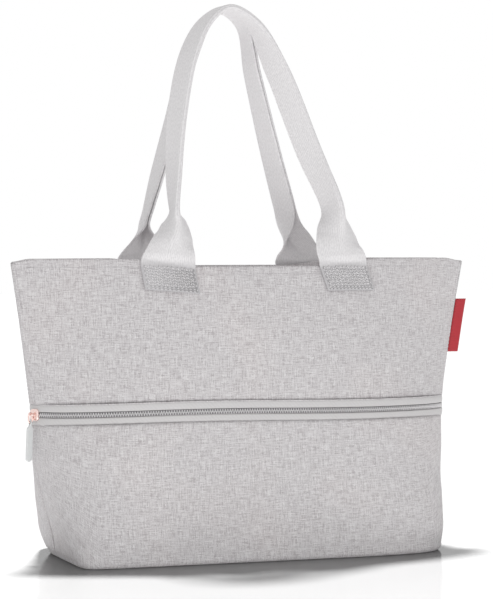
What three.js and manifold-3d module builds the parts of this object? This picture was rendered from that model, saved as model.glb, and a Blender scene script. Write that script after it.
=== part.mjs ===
// Cloth shopper bag with two webbing handles and a zip running all round its waist.
// Millimetres, +Z up. The origin is the middle of the base, on the ground; the front faces -Y.
import * as THREE from 'three';
import { mergeVertices } from 'three/addons/utils/BufferGeometryUtils.js';
import Module from 'manifold-3d';

// Driving dimensions of the bag
const RIM_WIDTH = 420;
const RIM_DEPTH = 107;
const RIM_HEIGHT = 249.8;
const RIM_RISE = 6.5;
const SEAM_DROP = 2.5;
const ZIP_HEIGHT = 127.2;
const ZIP_SAG = 3.4;
const ZIP_WIDTH = 380;
const ZIP_DEPTH = 148;
const BASE_WIDTH = 341;
const BASE_DEPTH = 176;
const BASE_ROUND = 5;

// Driving dimensions of the cloth and the zip
const CLOTH = 2;
const HEM_CLOTH = 3;
const HEM_HEIGHT = 13;
const TAPE = 1.6;
const TAPE_WIDTH = 6.4;
const TAPE_PROUD = 0.8;
const CHAIN_WIDTH = 4.4;
const CHAIN = 2.2;
const SEAM_GAP = 0.3;

// Driving dimensions of the handles
const WEBBING = 2;
const WEBBING_WIDTH = 46;
const FOLD_GAP = 0.6;
const FOOT_SPREAD = 162;
const FOOT_LENGTH = 21.3;
const HANDLE_RISE = 224.7;
const FOOT_SEAT = 0.45;

// Driving dimensions of the label, the slider and the pull
const LABEL_HEIGHT = 48;
const LABEL_REACH = 10.5;
const LABEL = 1.1;
const LABEL_MIDDLE = 195;
const SLIDER_LENGTH = 10;
const SLIDER_HEIGHT = 8.4;
const SLIDER = 2.6;
const SLIDER_FROM_SEAM = 8;
const BAR_WIRE = 1.6;
const BAR_SPAN = 4.4;
const LINK_WIRE = 1.4;
const LINK_LENGTH = 10;
const TAB_LENGTH = 33;
const TAB_WIDTH = 6.4;
const TAB = 2;
const EYE_WALL = 0.9;
const PIN_PLAY = 0.35;

// Cloth sections from the base to the zip. Shares: up of the zip height, wide and deep of the way from
// the base size to the zip size, lean of the half width. The two powers shape the ends and the faces.
const TUB = [
  { up: 0.00, wide: 0.00, deep: 0.00, lean: 0.000, ends: 9.0, faces: 8.0 },
  { up: 0.17, wide: 0.11, deep: 0.00, lean: -0.006, ends: 6.5, faces: 5.0 },
  { up: 0.45, wide: 0.56, deep: 0.18, lean: -0.008, ends: 4.0, faces: 2.7 },
  { up: 0.75, wide: 0.88, deep: 0.55, lean: -0.008, ends: 3.1, faces: 2.0 },
  { up: 1.00, wide: 1.00, deep: 1.00, lean: -0.003, ends: 2.7, faces: 1.7 },
];

// Cloth sections from the zip to the rim, in shares of the way from the zip to the rim.
const SLEEVE = [
  { up: 0.00, wide: 0.00, deep: 0.00, lean: -0.003, ends: 2.7, faces: 1.7 },
  { up: 0.30, wide: 0.29, deep: 0.25, lean: 0.000, ends: 2.5, faces: 1.4 },
  { up: 0.65, wide: 0.63, deep: 0.60, lean: 0.004, ends: 2.3, faces: 1.2 },
  { up: 1.00, wide: 1.00, deep: 1.00, lean: 0.008, ends: 2.1, faces: 1.05 },
];

// Handle stations from the left foot to the right one. Shares: up of the handle rise (foot of the foot
// length), front and back of half the foot spread, out of half the rim depth. Turns are in degrees, fold
// runs from a flat strap at 0 to a closed one at 1, and lies is how far the panel draws the strap to it.
// A station on the panel takes its whole lie from it.
const STATIONS = [
  { foot: 1, up: 0, front: -0.98, back: -0.98, onPanel: true },
  { foot: 0, up: 0, front: -1.00, back: -1.00, onPanel: true },
  { foot: 0, up: 0.03, front: -1.00, back: -0.97, onPanel: true },
  { up: 0.07, front: -0.965, back: -0.91, out: 0.81, frontTurn: 82, backTurn: 88, fold: 0.26, lies: 0.4 },
  { up: 0.125, front: -0.915, back: -0.915, out: 0.74, frontTurn: 84, backTurn: 92, fold: 0.54 },
  { up: 0.17, front: -0.90, back: -0.93, out: 0.67, frontTurn: 86, backTurn: 93, fold: 0.8 },
  { up: 0.22, front: -0.905, back: -0.94, out: 0.62, frontTurn: 88, backTurn: 92, fold: 1.0 },
  { up: 0.35, front: -0.90, back: -0.865, out: 0.56, frontTurn: 98, backTurn: 82, fold: 1.0 },
  { up: 0.58, front: -0.84, back: -0.70, out: 0.45, frontTurn: 108, backTurn: 74, fold: 1.0 },
  { up: 0.82, front: -0.68, back: -0.51, out: 0.33, frontTurn: 104, backTurn: 76, fold: 1.0 },
  { up: 0.945, front: -0.48, back: -0.36, out: 0.27, frontTurn: 96, backTurn: 84, fold: 1.0 },
  { up: 1.00, front: -0.21, back: -0.16, out: 0.245, frontTurn: 90, backTurn: 90, fold: 1.0 },
  { up: 0.945, front: 0.07, back: 0.055, out: 0.27, frontTurn: 97, backTurn: 83, fold: 1.0 },
  { up: 0.76, front: 0.355, back: 0.215, out: 0.36, frontTurn: 110, backTurn: 70, fold: 1.0 },
  { up: 0.45, front: 0.675, back: 0.47, out: 0.50, frontTurn: 115, backTurn: 66, fold: 1.0 },
  { up: 0.22, front: 0.88, back: 0.645, out: 0.62, frontTurn: 114, backTurn: 68, fold: 0.95 },
  { up: 0.125, front: 0.93, back: 0.75, out: 0.73, frontTurn: 108, backTurn: 76, fold: 0.52 },
  { up: 0.07, front: 0.955, back: 0.85, out: 0.81, frontTurn: 104, backTurn: 88, fold: 0.24, lies: 0.4 },
  { foot: 0, up: 0.03, front: 0.97, back: 0.905, onPanel: true },
  { foot: 0, up: 0, front: 0.98, back: 0.93, onPanel: true },
  { foot: 1, up: 0, front: 1.05, back: 0.97, onPanel: true },
];

// Fineness of the facets
const QUARTER = 12;
const STRAP_STEPS = 56;

const COLOURS = {
  cloth: 0xc9c7c7,
  tape: 0xd8d6d6,
  teeth: 0xa9a7a8,
  webbing: 0xd6d4d6,
  label: 0xb5232f,
  roseGold: 0xd9a08c,
  tab: 0xc6c8c8,
};

const UP = new THREE.Vector3(0, 0, 1);

const wasm = await Module();
wasm.setup();

// Value of a named column at a share, by a smooth curve through the rows.
function column(rows, key, share, along = 'up') {
  const last = rows.length - 1;
  let i = 0;
  while (i < last - 1 && share > rows[i + 1][along]) i += 1;
  const from = rows[i];
  const to = rows[i + 1];
  const slope = (a, b) => (b[key] - a[key]) / (b[along] - a[along]);
  const here = slope(from, to);
  const before = i > 0 ? (slope(rows[i - 1], from) + here) / 2 : here;
  const after = i < last - 1 ? (slope(to, rows[i + 2]) + here) / 2 : here;
  const span = to[along] - from[along];
  const t = Math.min(1, Math.max(0, (share - from[along]) / span));
  const ease = t * t * (3 - 2 * t);
  return from[key] + ease * (to[key] - from[key])
    + span * t * (1 - t) * ((1 - t) * before - t * after);
}

// Height of the rim over a place along the bag: lower between the handles and at the two seams.
function rimHeight(x) {
  const rise = THREE.MathUtils.smoothstep(Math.abs(x), 0.14 * RIM_WIDTH, 0.27 * RIM_WIDTH);
  const drop = THREE.MathUtils.smoothstep(Math.abs(x), 0.45 * RIM_WIDTH, 0.5 * RIM_WIDTH);
  return RIM_HEIGHT + RIM_RISE * rise - SEAM_DROP * drop;
}

// How far the zip sags below its middle over a place along the bag.
function zipSag(x) {
  return ZIP_SAG * Math.min(1, Math.abs(2 * x / ZIP_WIDTH)) ** 2;
}

// Half width, half depth, lean and the two powers of the cloth section at a height.
function sectionAt(z) {
  const low = z <= ZIP_HEIGHT;
  const rows = low ? TUB : SLEEVE;
  const start = low ? 0 : ZIP_HEIGHT;
  const end = low ? ZIP_HEIGHT : RIM_HEIGHT;
  const share = THREE.MathUtils.clamp((z - start) / (end - start), 0, 1.03);
  const width = low ? [BASE_WIDTH, ZIP_WIDTH] : [ZIP_WIDTH, RIM_WIDTH];
  const depth = low ? [BASE_DEPTH, ZIP_DEPTH] : [ZIP_DEPTH, RIM_DEPTH];
  return {
    a: (width[0] + (width[1] - width[0]) * column(rows, 'wide', share)) / 2,
    b: (depth[0] + (depth[1] - depth[0]) * column(rows, 'deep', share)) / 2,
    lean: column(rows, 'lean', share),
    ends: column(rows, 'ends', share),
    faces: column(rows, 'faces', share),
  };
}

// Heights of the seams: upper cloth, upper tape, chain, lower tape, lower cloth
const chainTop = ZIP_HEIGHT + CHAIN_WIDTH / 2;
const chainFoot = ZIP_HEIGHT - CHAIN_WIDTH / 2;
const sleeveFoot = chainTop + TAPE_WIDTH + 2 * SEAM_GAP;
const tubTop = chainFoot - TAPE_WIDTH - 2 * SEAM_GAP;

// Depth of the outer cloth surface from the middle plane, at a place along the bag and a height.
// The sleeve's sections rise and dip with its rim and sag with the zip.
function panelDepth(x, z) {
  const foot = sleeveFoot - zipSag(x);
  const share = (z - foot) / (rimHeight(x) - foot);
  const s = sectionAt(sleeveFoot + share * (RIM_HEIGHT - sleeveFoot));
  const left = Math.max(0, 1 - Math.abs(x / s.a - s.lean) ** s.ends);
  return s.b * left ** (1 / s.faces);
}

// One closed ring of the section |x/a|^ends + |y/b|^faces = 1, evenly spaced, moved inwards by an inset.
function sectionRing(s, inset) {
  const fine = 240;
  const quarter = [];
  for (let i = 0; i <= fine; i += 1) {
    const t = (i / fine) * Math.PI / 2;
    quarter.push([s.a * Math.cos(t) ** (2 / s.ends), s.b * Math.sin(t) ** (2 / s.faces)]);
  }
  const run = [0];
  for (let i = 1; i <= fine; i += 1) {
    run.push(run[i - 1] + Math.hypot(quarter[i][0] - quarter[i - 1][0], quarter[i][1] - quarter[i - 1][1]));
  }
  const even = [];
  for (let k = 0; k <= QUARTER; k += 1) {
    const want = run[fine] * k / QUARTER;
    let i = 1;
    while (i < fine && run[i] < want) i += 1;
    const t = (want - run[i - 1]) / (run[i] - run[i - 1]);
    even.push(quarter[i - 1].map((value, axis) => value + t * (quarter[i][axis] - value)));
  }
  const back = even.slice(0, QUARTER);
  const ring = [
    ...back,
    ...even.slice(1).reverse().map(([x, y]) => [-x, y]),
    ...back.map(([x, y]) => [-x, -y]),
    ...even.slice(1).reverse().map(([x, y]) => [x, -y]),
  ];
  return ring.map((point, i) => {
    const next = ring[(i + 1) % ring.length];
    const previous = ring[(i + ring.length - 1) % ring.length];
    const along = new THREE.Vector2(next[0] - previous[0], next[1] - previous[1]).normalize();
    return [point[0] + s.lean * s.a - inset * along.y, point[1] + inset * along.x];
  });
}

// A closed skin over rings of equal length. Each end is capped by a fan, or the last ring meets the first.
function skin(rings, closed) {
  const size = rings[0].length;
  const points = rings.flat();
  const faces = [];
  const bands = closed ? rings.length : rings.length - 1;
  for (let r = 0; r < bands; r += 1) {
    const low = r * size;
    const high = ((r + 1) % rings.length) * size;
    for (let i = 0; i < size; i += 1) {
      const j = (i + 1) % size;
      faces.push(low + i, low + j, high + j, low + i, high + j, high + i);
    }
  }
  if (!closed) {
    for (const [ring, flip] of [[0, true], [rings.length - 1, false]]) {
      const middle = new THREE.Vector3();
      rings[ring].forEach((point) => middle.addScaledVector(point, 1 / size));
      points.push(middle);
      for (let i = 0; i < size; i += 1) {
        const pair = [ring * size + i, ring * size + (i + 1) % size];
        if (flip) pair.reverse();
        faces.push(pair[0], pair[1], points.length - 1);
      }
    }
  }
  const geometry = new THREE.BufferGeometry();
  geometry.setAttribute('position', new THREE.Float32BufferAttribute(points.flatMap((p) => p.toArray()), 3));
  geometry.setIndex(faces);
  geometry.computeVertexNormals();
  return geometry;
}

// Ring in space: the section at a reference height, set at a height worked out for each place along it.
function clothRing(reference, inset, height) {
  return sectionRing(sectionAt(reference), inset).map(([x, y]) => new THREE.Vector3(x, y, height(x)));
}

function mesh(name, geometry, colour, roughness = 0.9, metalness = 0) {
  const material = new THREE.MeshStandardMaterial({ color: colour, roughness, metalness });
  const made = new THREE.Mesh(geometry, material);
  made.name = name;
  return made;
}

// Open cloth sleeve from the zip to the rim, with a thicker turned hem.
function upperBody() {
  const span = RIM_HEIGHT - sleeveFoot;
  const hem = 1 - HEM_HEIGHT / span;
  const ring = (share, inset, drop = 0) => clothRing(sleeveFoot + share * span, inset, (x) => (
    THREE.MathUtils.lerp(sleeveFoot - zipSag(x), rimHeight(x), share) - drop));
  const levels = [0, 0.15, 0.3, 0.46, 0.62, 0.76];
  const edge = HEM_CLOTH / 4;
  const rings = [
    ...levels.map((share) => ring(share, 0)),
    ring(hem, 0),
    ring(1, 0, edge),
    ring(1, HEM_CLOTH / 2),
    ring(1, HEM_CLOTH, edge),
    ring(hem, HEM_CLOTH),
    ring(hem, CLOTH, HEM_CLOTH - CLOTH),
    ...levels.reverse().map((share) => ring(share, CLOTH)),
  ];
  return mesh('upper_body', skin(rings, true), COLOURS.cloth);
}

// Cloth tub from the zip down to the boxed bottom, flat where it stands.
function lowerBody() {
  const levels = [1, 0.84, 0.66, 0.48, 0.32, 0.18];
  const wall = (inset) => (share) => clothRing(tubTop * share, inset, (x) => share * (tubTop - zipSag(x)));
  const outer = levels.map(wall(0));
  const inner = levels.map(wall(CLOTH));
  const edge = [0, 1, 2, 3].map((step) => {
    const turn = (step / 3) * Math.PI / 2;
    return clothRing(0, BASE_ROUND * (1 - Math.cos(turn)), () => BASE_ROUND * (1 - Math.sin(turn)));
  });
  const corner = clothRing(0, CLOTH + BASE_ROUND / 4, () => CLOTH + BASE_ROUND / 2);
  const floor = clothRing(0, CLOTH + BASE_ROUND, () => CLOTH);
  const geometry = skin([floor, corner, ...inner.reverse(), ...outer, ...edge].reverse(), false);
  return mesh('lower_body', geometry, COLOURS.cloth);
}

// A band round the waist with a softly rounded outer face: heights, thickness and how proud it stands.
function waistBand(name, foot, top, thickness, proud, colour) {
  const soft = thickness / 4;
  const profile = [
    [foot, soft - proud],
    [foot + soft, -proud],
    [top - soft, -proud],
    [top, soft - proud],
    [top, thickness - proud],
    [foot, thickness - proud],
  ];
  const rings = profile.map(([z, inset]) => clothRing(ZIP_HEIGHT, inset, (x) => z - zipSag(x)));
  return mesh(name, skin(rings, true), colour, 0.7);
}

function zipTapeUpper() {
  const foot = chainTop + SEAM_GAP;
  return waistBand('zip_tape_upper', foot, foot + TAPE_WIDTH, TAPE, TAPE_PROUD, COLOURS.tape);
}

function zipTapeLower() {
  const top = chainFoot - SEAM_GAP;
  return waistBand('zip_tape_lower', top - TAPE_WIDTH, top, TAPE, TAPE_PROUD, COLOURS.tape);
}

function zipChain() {
  return waistBand('zip_chain', chainFoot, chainTop, CHAIN, TAPE_PROUD, COLOURS.teeth);
}

// Section of the folded strap, in millimetres across it and towards the bag, about its own middle.
// The strap bends round a soft ridge, and its two leaves swing back until only the fold gap parts them.
function strapSection(fold) {
  const swing = fold * Math.PI / 2;
  const tight = (WEBBING + FOLD_GAP) / 2;
  const bend = tight + (1 - fold) * WEBBING;
  const leaf = WEBBING_WIDTH / 2 - bend * swing;
  const middle = (bend * (1 - Math.cos(swing)) + leaf * Math.sin(swing)) / 2;
  const arc = 3;
  const side = (offset) => {
    const points = [];
    for (let i = -arc; i <= arc; i += 1) {
      const turn = swing * i / arc;
      points.push([(bend + offset) * Math.sin(turn), bend - (bend + offset) * Math.cos(turn)]);
    }
    const reach = (sign, share) => {
      const [x, y] = sign < 0 ? points[0] : points[points.length - 1];
      return [x + sign * share * leaf * Math.cos(swing), y + share * leaf * Math.sin(swing)];
    };
    return [reach(-1, 1), reach(-1, 0.5), ...points, reach(1, 0.5), reach(1, 1)];
  };
  const loop = [...side(WEBBING / 2), ...side(-WEBBING / 2).reverse()];
  return loop.map(([x, y]) => [x, y - middle]);
}

// Lie of a flat strap on the panel: how far out it sits, its turn and the slight fold that follows the bow.
function panelLie(x, z) {
  const half = WEBBING_WIDTH / 2;
  const inner = panelDepth(x - half, z);
  const outer = panelDepth(x + half, z);
  const bow = panelDepth(x, z) - (inner + outer) / 2;
  return {
    out: panelDepth(x, z) + FOOT_SEAT + WEBBING / 2,
    turn: THREE.MathUtils.radToDeg(Math.atan2(2 * half, outer - inner)),
    fold: Math.atan2(bow, half) / (Math.PI / 2),
    lies: 1,
  };
}

// Point of a sewn foot drawn on to the panel, on its seat or one webbing farther out.
function laidOn(point, facing, outside, share) {
  const depth = panelDepth(point.x, point.z) + FOOT_SEAT + (outside ? WEBBING : 0);
  return point.setY(THREE.MathUtils.lerp(point.y, facing * depth, share));
}

// One webbing handle: the section carried along a smooth line through the stations, level on the panel.
function handle(name, sideKey, turnKey, facing) {
  const stations = STATIONS.map((row, i) => {
    const x = row[sideKey] * FOOT_SPREAD / 2;
    const z = RIM_HEIGHT + row.up * HANDLE_RISE - (row.foot ?? 0) * FOOT_LENGTH;
    const free = { out: row.out * RIM_DEPTH / 2, turn: row[turnKey], fold: row.fold, lies: row.lies ?? 0 };
    return { at: i, x, z, ...(row.onPanel ? panelLie(x, z) : free) };
  });
  const places = stations.map(({ x, z, out }) => new THREE.Vector3(x, facing * out, z));
  const line = new THREE.CatmullRomCurve3(places, false, 'centripetal');
  const rings = [];
  for (let i = 0; i <= STRAP_STEPS; i += 1) {
    const share = i / STRAP_STEPS;
    const at = share * (stations.length - 1);
    const turn = THREE.MathUtils.degToRad(column(stations, 'turn', at, 'at'));
    const fold = THREE.MathUtils.clamp(column(stations, 'fold', at, 'at'), 0, 1);
    const lies = THREE.MathUtils.clamp(column(stations, 'lies', at, 'at'), 0, 1);
    const tangent = line.getTangent(share);
    tangent.lerp(UP.clone().multiplyScalar(Math.sign(tangent.z)), lies).normalize();
    const back = new THREE.Vector3(Math.cos(turn), -facing * Math.sin(turn), 0);
    back.addScaledVector(tangent, -back.dot(tangent)).normalize();
    const across = new THREE.Vector3().crossVectors(back, tangent).multiplyScalar(-facing);
    const middle = line.getPoint(share);
    const section = strapSection(fold);
    rings.push(section.map(([u, v], k) => laidOn(
      middle.clone().addScaledVector(across, u).addScaledVector(back, v), facing, k < section.length / 2, lies)));
  }
  if (facing > 0) rings.forEach((ring) => ring.reverse());
  return mesh(name, skin(rings, false), COLOURS.webbing);
}

// Label of folded ribbon standing out of the right side seam.
function sideLabel() {
  const steps = 4;
  const rings = [];
  for (let i = 0; i <= steps; i += 1) {
    const z = LABEL_MIDDLE + LABEL_HEIGHT * (i / steps - 0.5);
    const s = sectionAt(z);
    const edge = s.a * (1 + s.lean) + SEAM_GAP;
    rings.push([[0, -0.5], [0.5, -0.55], [1, -0.3], [1, 0.3], [0.5, 0.45], [0, 0.5]].map(([out, thick]) => (
      new THREE.Vector3(edge + out * LABEL_REACH, thick * LABEL, z))));
  }
  return mesh('side_label', skin(rings, false), COLOURS.label, 0.6);
}

// Place of the slider on the chain: a point of the outer face, the outward way and the way along the zip.
function sliderFrame() {
  const ring = sectionRing(sectionAt(ZIP_HEIGHT), -TAPE_PROUD);
  const seam = 2 * QUARTER;
  const [from, to] = [ring[seam], ring[seam + 1]].map(([x, y]) => new THREE.Vector3(x, y, 0));
  const along = to.clone().sub(from).normalize();
  const out = new THREE.Vector3(along.y, -along.x, 0);
  const point = from.addScaledVector(along, SLIDER_FROM_SEAM);
  point.z = ZIP_HEIGHT - zipSag(point.x);
  return { point, out, along };
}

// A group turned so that its x runs along the zip, its y points out of the bag and its z is up.
function sliderGroup() {
  const { point, out, along } = sliderFrame();
  const group = new THREE.Group();
  const x = along.clone().negate();
  group.quaternion.setFromRotationMatrix(new THREE.Matrix4().makeBasis(x, out, new THREE.Vector3(0, 0, 1)));
  group.position.copy(point);
  return group;
}

function toSolid(geometry) {
  const bare = geometry.clone();
  bare.deleteAttribute('normal');
  bare.deleteAttribute('uv');
  const merged = mergeVertices(bare, 1e-4);
  return new wasm.Manifold(new wasm.Mesh({
    numProp: 3,
    vertProperties: new Float32Array(merged.attributes.position.array),
    triVerts: new Uint32Array(merged.index.array),
  }));
}

function toGeometry(solid) {
  const made = solid.getMesh();
  const geometry = new THREE.BufferGeometry();
  geometry.setAttribute('position', new THREE.BufferAttribute(new Float32Array(made.vertProperties), 3));
  geometry.setIndex(new THREE.BufferAttribute(new Uint32Array(made.triVerts), 1));
  geometry.computeVertexNormals();
  return geometry;
}

// The link's half breadth, and how far the bridge bar's middle stands out from the slider's back plane
const linkInside = BAR_WIRE / 2 + PIN_PLAY;
const linkHalf = linkInside + LINK_WIRE;
const barOut = SEAM_GAP + SLIDER + PIN_PLAY + linkHalf;

// Slider: a rounded plate over the chain with a bridge bar standing off it on two legs.
function zipSlider() {
  const l = SLIDER_LENGTH / 2;
  const h = SLIDER_HEIGHT / 2;
  const plate = new THREE.Shape();
  plate.moveTo(-l, -0.6 * h);
  plate.quadraticCurveTo(-l, -h, -0.6 * l, -h);
  plate.lineTo(0.7 * l, -0.8 * h);
  plate.quadraticCurveTo(l, -0.7 * h, l, 0);
  plate.quadraticCurveTo(l, 0.7 * h, 0.7 * l, 0.8 * h);
  plate.lineTo(-0.6 * l, h);
  plate.quadraticCurveTo(-l, h, -l, 0.6 * h);
  plate.closePath();
  const body = new THREE.ExtrudeGeometry(plate, { depth: SLIDER, bevelEnabled: false, curveSegments: 4 });
  body.rotateX(Math.PI / 2).translate(0, SEAM_GAP + SLIDER, 0);
  const bar = new THREE.CylinderGeometry(BAR_WIRE / 2, BAR_WIRE / 2, BAR_SPAN + 2 * BAR_WIRE, 12);
  bar.rotateZ(Math.PI / 2).translate(0, barOut, 0);
  let solid = toSolid(body).add(toSolid(bar));
  const face = SEAM_GAP + SLIDER / 2;
  for (const side of [-1, 1]) {
    const leg = new THREE.BoxGeometry(BAR_WIRE, barOut - face, BAR_WIRE);
    leg.translate(side * (BAR_SPAN + BAR_WIRE) / 2, (barOut + face) / 2, 0);
    solid = solid.add(toSolid(leg));
  }
  return mesh('zip_slider', toGeometry(solid), COLOURS.roseGold, 0.25, 1);
}

// Height of the link's lower wire, where the tab hangs, below the bridge bar
const linkTop = linkInside + LINK_WIRE / 2;
const pinDrop = LINK_LENGTH - LINK_WIRE - linkTop;

// Long ring of wire round the bridge bar, hanging straight down from it.
function pullLink() {
  const bend = linkInside + LINK_WIRE / 2;
  const rings = [];
  for (const [middle, start] of [[linkTop - bend, 0], [bend - pinDrop, Math.PI]]) {
    for (let i = 0; i <= 6; i += 1) {
      const turn = start + i * Math.PI / 6;
      const ring = [];
      for (let k = 0; k < 8; k += 1) {
        const round = k * Math.PI / 4;
        const out = bend + LINK_WIRE / 2 * Math.cos(round);
        const aside = LINK_WIRE / 2 * Math.sin(round);
        ring.push(new THREE.Vector3(-aside, barOut + out * Math.cos(turn), middle + out * Math.sin(turn)));
      }
      rings.push(ring);
    }
  }
  return mesh('pull_link', skin(rings, true), COLOURS.roseGold, 0.25, 1);
}

// Coated tab: an eye round the link's lower wire and a flat tongue with a round end.
function pullTab() {
  const hole = LINK_WIRE / 2 + PIN_PLAY;
  const rim = hole + EYE_WALL;
  const eyeHalf = linkInside - PIN_PLAY;
  const w = TAB_WIDTH / 2;
  const eye = new THREE.CylinderGeometry(rim, rim, 2 * eyeHalf, 16);
  const bore = new THREE.CylinderGeometry(hole, hole, 2 * TAB_WIDTH, 12);
  const tongue = new THREE.Shape();
  tongue.moveTo(-eyeHalf, -rim + EYE_WALL / 2);
  tongue.lineTo(-eyeHalf, -rim);
  tongue.quadraticCurveTo(-w, -rim, -w, -rim - w);
  tongue.lineTo(-w, w - TAB_LENGTH);
  tongue.absarc(0, w - TAB_LENGTH, w, Math.PI, 2 * Math.PI, false);
  tongue.lineTo(w, -rim - w);
  tongue.quadraticCurveTo(w, -rim, eyeHalf, -rim);
  tongue.lineTo(eyeHalf, -rim + EYE_WALL / 2);
  tongue.closePath();
  const flat = new THREE.ExtrudeGeometry(tongue, { depth: TAB, bevelEnabled: false, curveSegments: 8 });
  const [x, y, z] = [0, 1, 2].map((axis) => new THREE.Vector3().setComponent(axis, 1));
  flat.applyMatrix4(new THREE.Matrix4().makeBasis(y, z, x)).translate(-TAB / 2, 0, 0);
  const solid = toSolid(flat).add(toSolid(eye)).subtract(toSolid(bore));
  const geometry = toGeometry(solid);
  geometry.translate(0, barOut, -pinDrop);
  return mesh('pull_tab', geometry, COLOURS.tab, 0.55);
}

const group = new THREE.Group();
group.add(upperBody(), lowerBody(), zipTapeUpper(), zipTapeLower(), zipChain());
group.add(handle('front_handle', 'front', 'frontTurn', -1));
group.add(handle('back_handle', 'back', 'backTurn', 1));
group.add(sideLabel());
const fittings = sliderGroup();
fittings.add(zipSlider(), pullLink(), pullTab());
group.add(fittings);

export default group;
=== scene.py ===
import math

import bpy
import numpy as np
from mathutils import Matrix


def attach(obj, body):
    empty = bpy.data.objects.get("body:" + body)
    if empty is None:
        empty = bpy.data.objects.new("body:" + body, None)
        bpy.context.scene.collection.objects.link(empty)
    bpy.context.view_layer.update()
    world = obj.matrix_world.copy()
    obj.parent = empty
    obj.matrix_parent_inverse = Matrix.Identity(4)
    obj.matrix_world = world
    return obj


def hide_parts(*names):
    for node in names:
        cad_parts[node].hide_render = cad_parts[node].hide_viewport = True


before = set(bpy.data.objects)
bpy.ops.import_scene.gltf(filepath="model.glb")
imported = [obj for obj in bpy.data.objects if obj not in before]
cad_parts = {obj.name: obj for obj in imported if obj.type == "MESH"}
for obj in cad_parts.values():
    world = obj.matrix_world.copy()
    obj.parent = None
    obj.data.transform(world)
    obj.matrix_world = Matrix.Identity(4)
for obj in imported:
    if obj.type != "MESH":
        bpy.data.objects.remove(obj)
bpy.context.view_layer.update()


# The studio: a white tent whose light reaches the surfaces at two thirds of its strength, and a pale,
# slightly glossy table with a wash of its own from behind. Weak lights beside the camera, below, above and
# inside the bag stand in for the light that the tent, the table and the cloth throw about.
EYE = (-0.7042, -1.9742, 0.2752)
LOOK_TURN, LOOK_DOWN = 19.738, 1.51
LENS, SENSOR = 143.34, 36
TABLE_HALF, TABLE_DROP, TABLE_GREY = 9, 0.0003, "#6C6C6C"
TENT_SHARE = 0.68
LIGHTS = [
    {"name": "table_wash", "kind": "SUN", "power": 23.0, "from": (0.08, 0.34, 0.92),
     "spread": math.radians(7)},
    {"name": "front_soft", "kind": "AREA", "power": 3.0, "from": (-0.20, -2.20, 0.30), "spread": 1.6},
    {"name": "under_fill", "kind": "AREA", "power": 2.3, "from": (-0.15, -0.70, -0.38), "spread": 0.6},
    {"name": "top_soft", "kind": "AREA", "power": 3.0, "from": (0.10, -0.10, 2.20), "spread": 1.2},
    {"name": "inner_bounce", "kind": "POINT", "power": 0.20, "from": (0.0, -0.005, 0.13), "spread": 0.04},
]


def srgb(code):
    """Linear colour of an sRGB hex code: each share is divided by 12.92 near black, else raised to 2.4."""
    shares = np.array([int(code[i:i + 2], 16) for i in (1, 3, 5)]) / 255
    linear = np.where(shares <= 0.04045, shares / 12.92, ((shares + 0.055) / 1.055) ** 2.4)
    return (*linear.tolist(), 1.0)


def put(tree, kind, inputs=None, **settings):
    """Adds a node with its settings. An input is linked where it gets a socket, and set where a value."""
    made = tree.nodes.new(kind)
    for key, value in settings.items():
        setattr(made, key, value)
    for key, value in (inputs or {}).items():
        if isinstance(value, bpy.types.NodeSocket):
            tree.links.new(value, made.inputs[key])
        else:
            made.inputs[key].default_value = value
    return made


def finish_of(name, **sockets):
    """A new material, its node tree and its shader, with constants set on the shader's own sockets."""
    made = bpy.data.materials.new(name)
    made.use_nodes = True
    shader = made.node_tree.nodes["Principled BSDF"]
    for key, value in sockets.items():
        shader.inputs[key.replace("_", " ")].default_value = value
    return made, made.node_tree, shader


camera = bpy.data.objects.new("camera", bpy.data.cameras.new("camera"))
camera.data.lens = LENS
camera.data.sensor_width = SENSOR
camera.location = EYE
camera.rotation_euler = (math.radians(90 - LOOK_DOWN), 0, math.radians(-LOOK_TURN))
camera.data.clip_start, camera.data.clip_end = 0.05, 60
bpy.context.scene.collection.objects.link(camera)
bpy.context.scene.camera = camera
bpy.context.scene.view_settings.view_transform = "Standard"

table_top = bpy.data.meshes.new("table_top")
corners = [(x * TABLE_HALF, y * TABLE_HALF, -TABLE_DROP) for x, y in ((-1, -1), (1, -1), (1, 1), (-1, 1))]
table_top.from_pydata(corners, [], [(0, 1, 2, 3)])
floor = bpy.data.objects.new("floor", table_top)
bpy.context.scene.collection.objects.link(floor)
lacquer, tree, shader = finish_of("pale_lacquered_board", Roughness=0.12, IOR=1.13)
shader.inputs["Base Color"].default_value = srgb(TABLE_GREY)
floor.data.materials.append(lacquer)

world = bpy.data.worlds.new("studio")
world.use_nodes = True
bpy.context.scene.world = world
sky = world.node_tree
path = put(sky, "ShaderNodeLightPath")
glow = put(sky, "ShaderNodeMix", {0: path.outputs["Is Diffuse Ray"], 2: 1.0, 3: TENT_SHARE},
           data_type="FLOAT")
sky.links.new(glow.outputs[0], sky.nodes["Background"].inputs["Strength"])
sky.nodes["Background"].inputs["Color"].default_value = (1, 1, 1, 1)

for row in LIGHTS:
    light = bpy.data.lights.new(row["name"], row["kind"])
    light.energy = row["power"]
    setattr(light, {"SUN": "angle", "AREA": "size", "POINT": "shadow_soft_size"}[row["kind"]], row["spread"])
    lamp = bpy.data.objects.new(row["name"], light)
    lamp.location = row["from"]
    lamp.rotation_euler = lamp.location.to_track_quat("Z", "Y").to_euler()
    lamp.visible_camera = False
    bpy.context.scene.collection.objects.link(lamp)
    # The sun reaches the table alone and the soft lights all but the table, which lets the low fill through.
    if row["kind"] != "POINT":
        reached = bpy.data.collections.new(f"{row['name']}_and_the_table")
        reached.objects.link(floor)
        link = reached.collection_objects[0].light_linking
        link.link_state = "INCLUDE" if row["kind"] == "SUN" else "EXCLUDE"
        lamp.light_linking.receiver_collection = reached
    if row["name"] == "under_fill":
        lamp.light_linking.blocker_collection = reached


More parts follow.
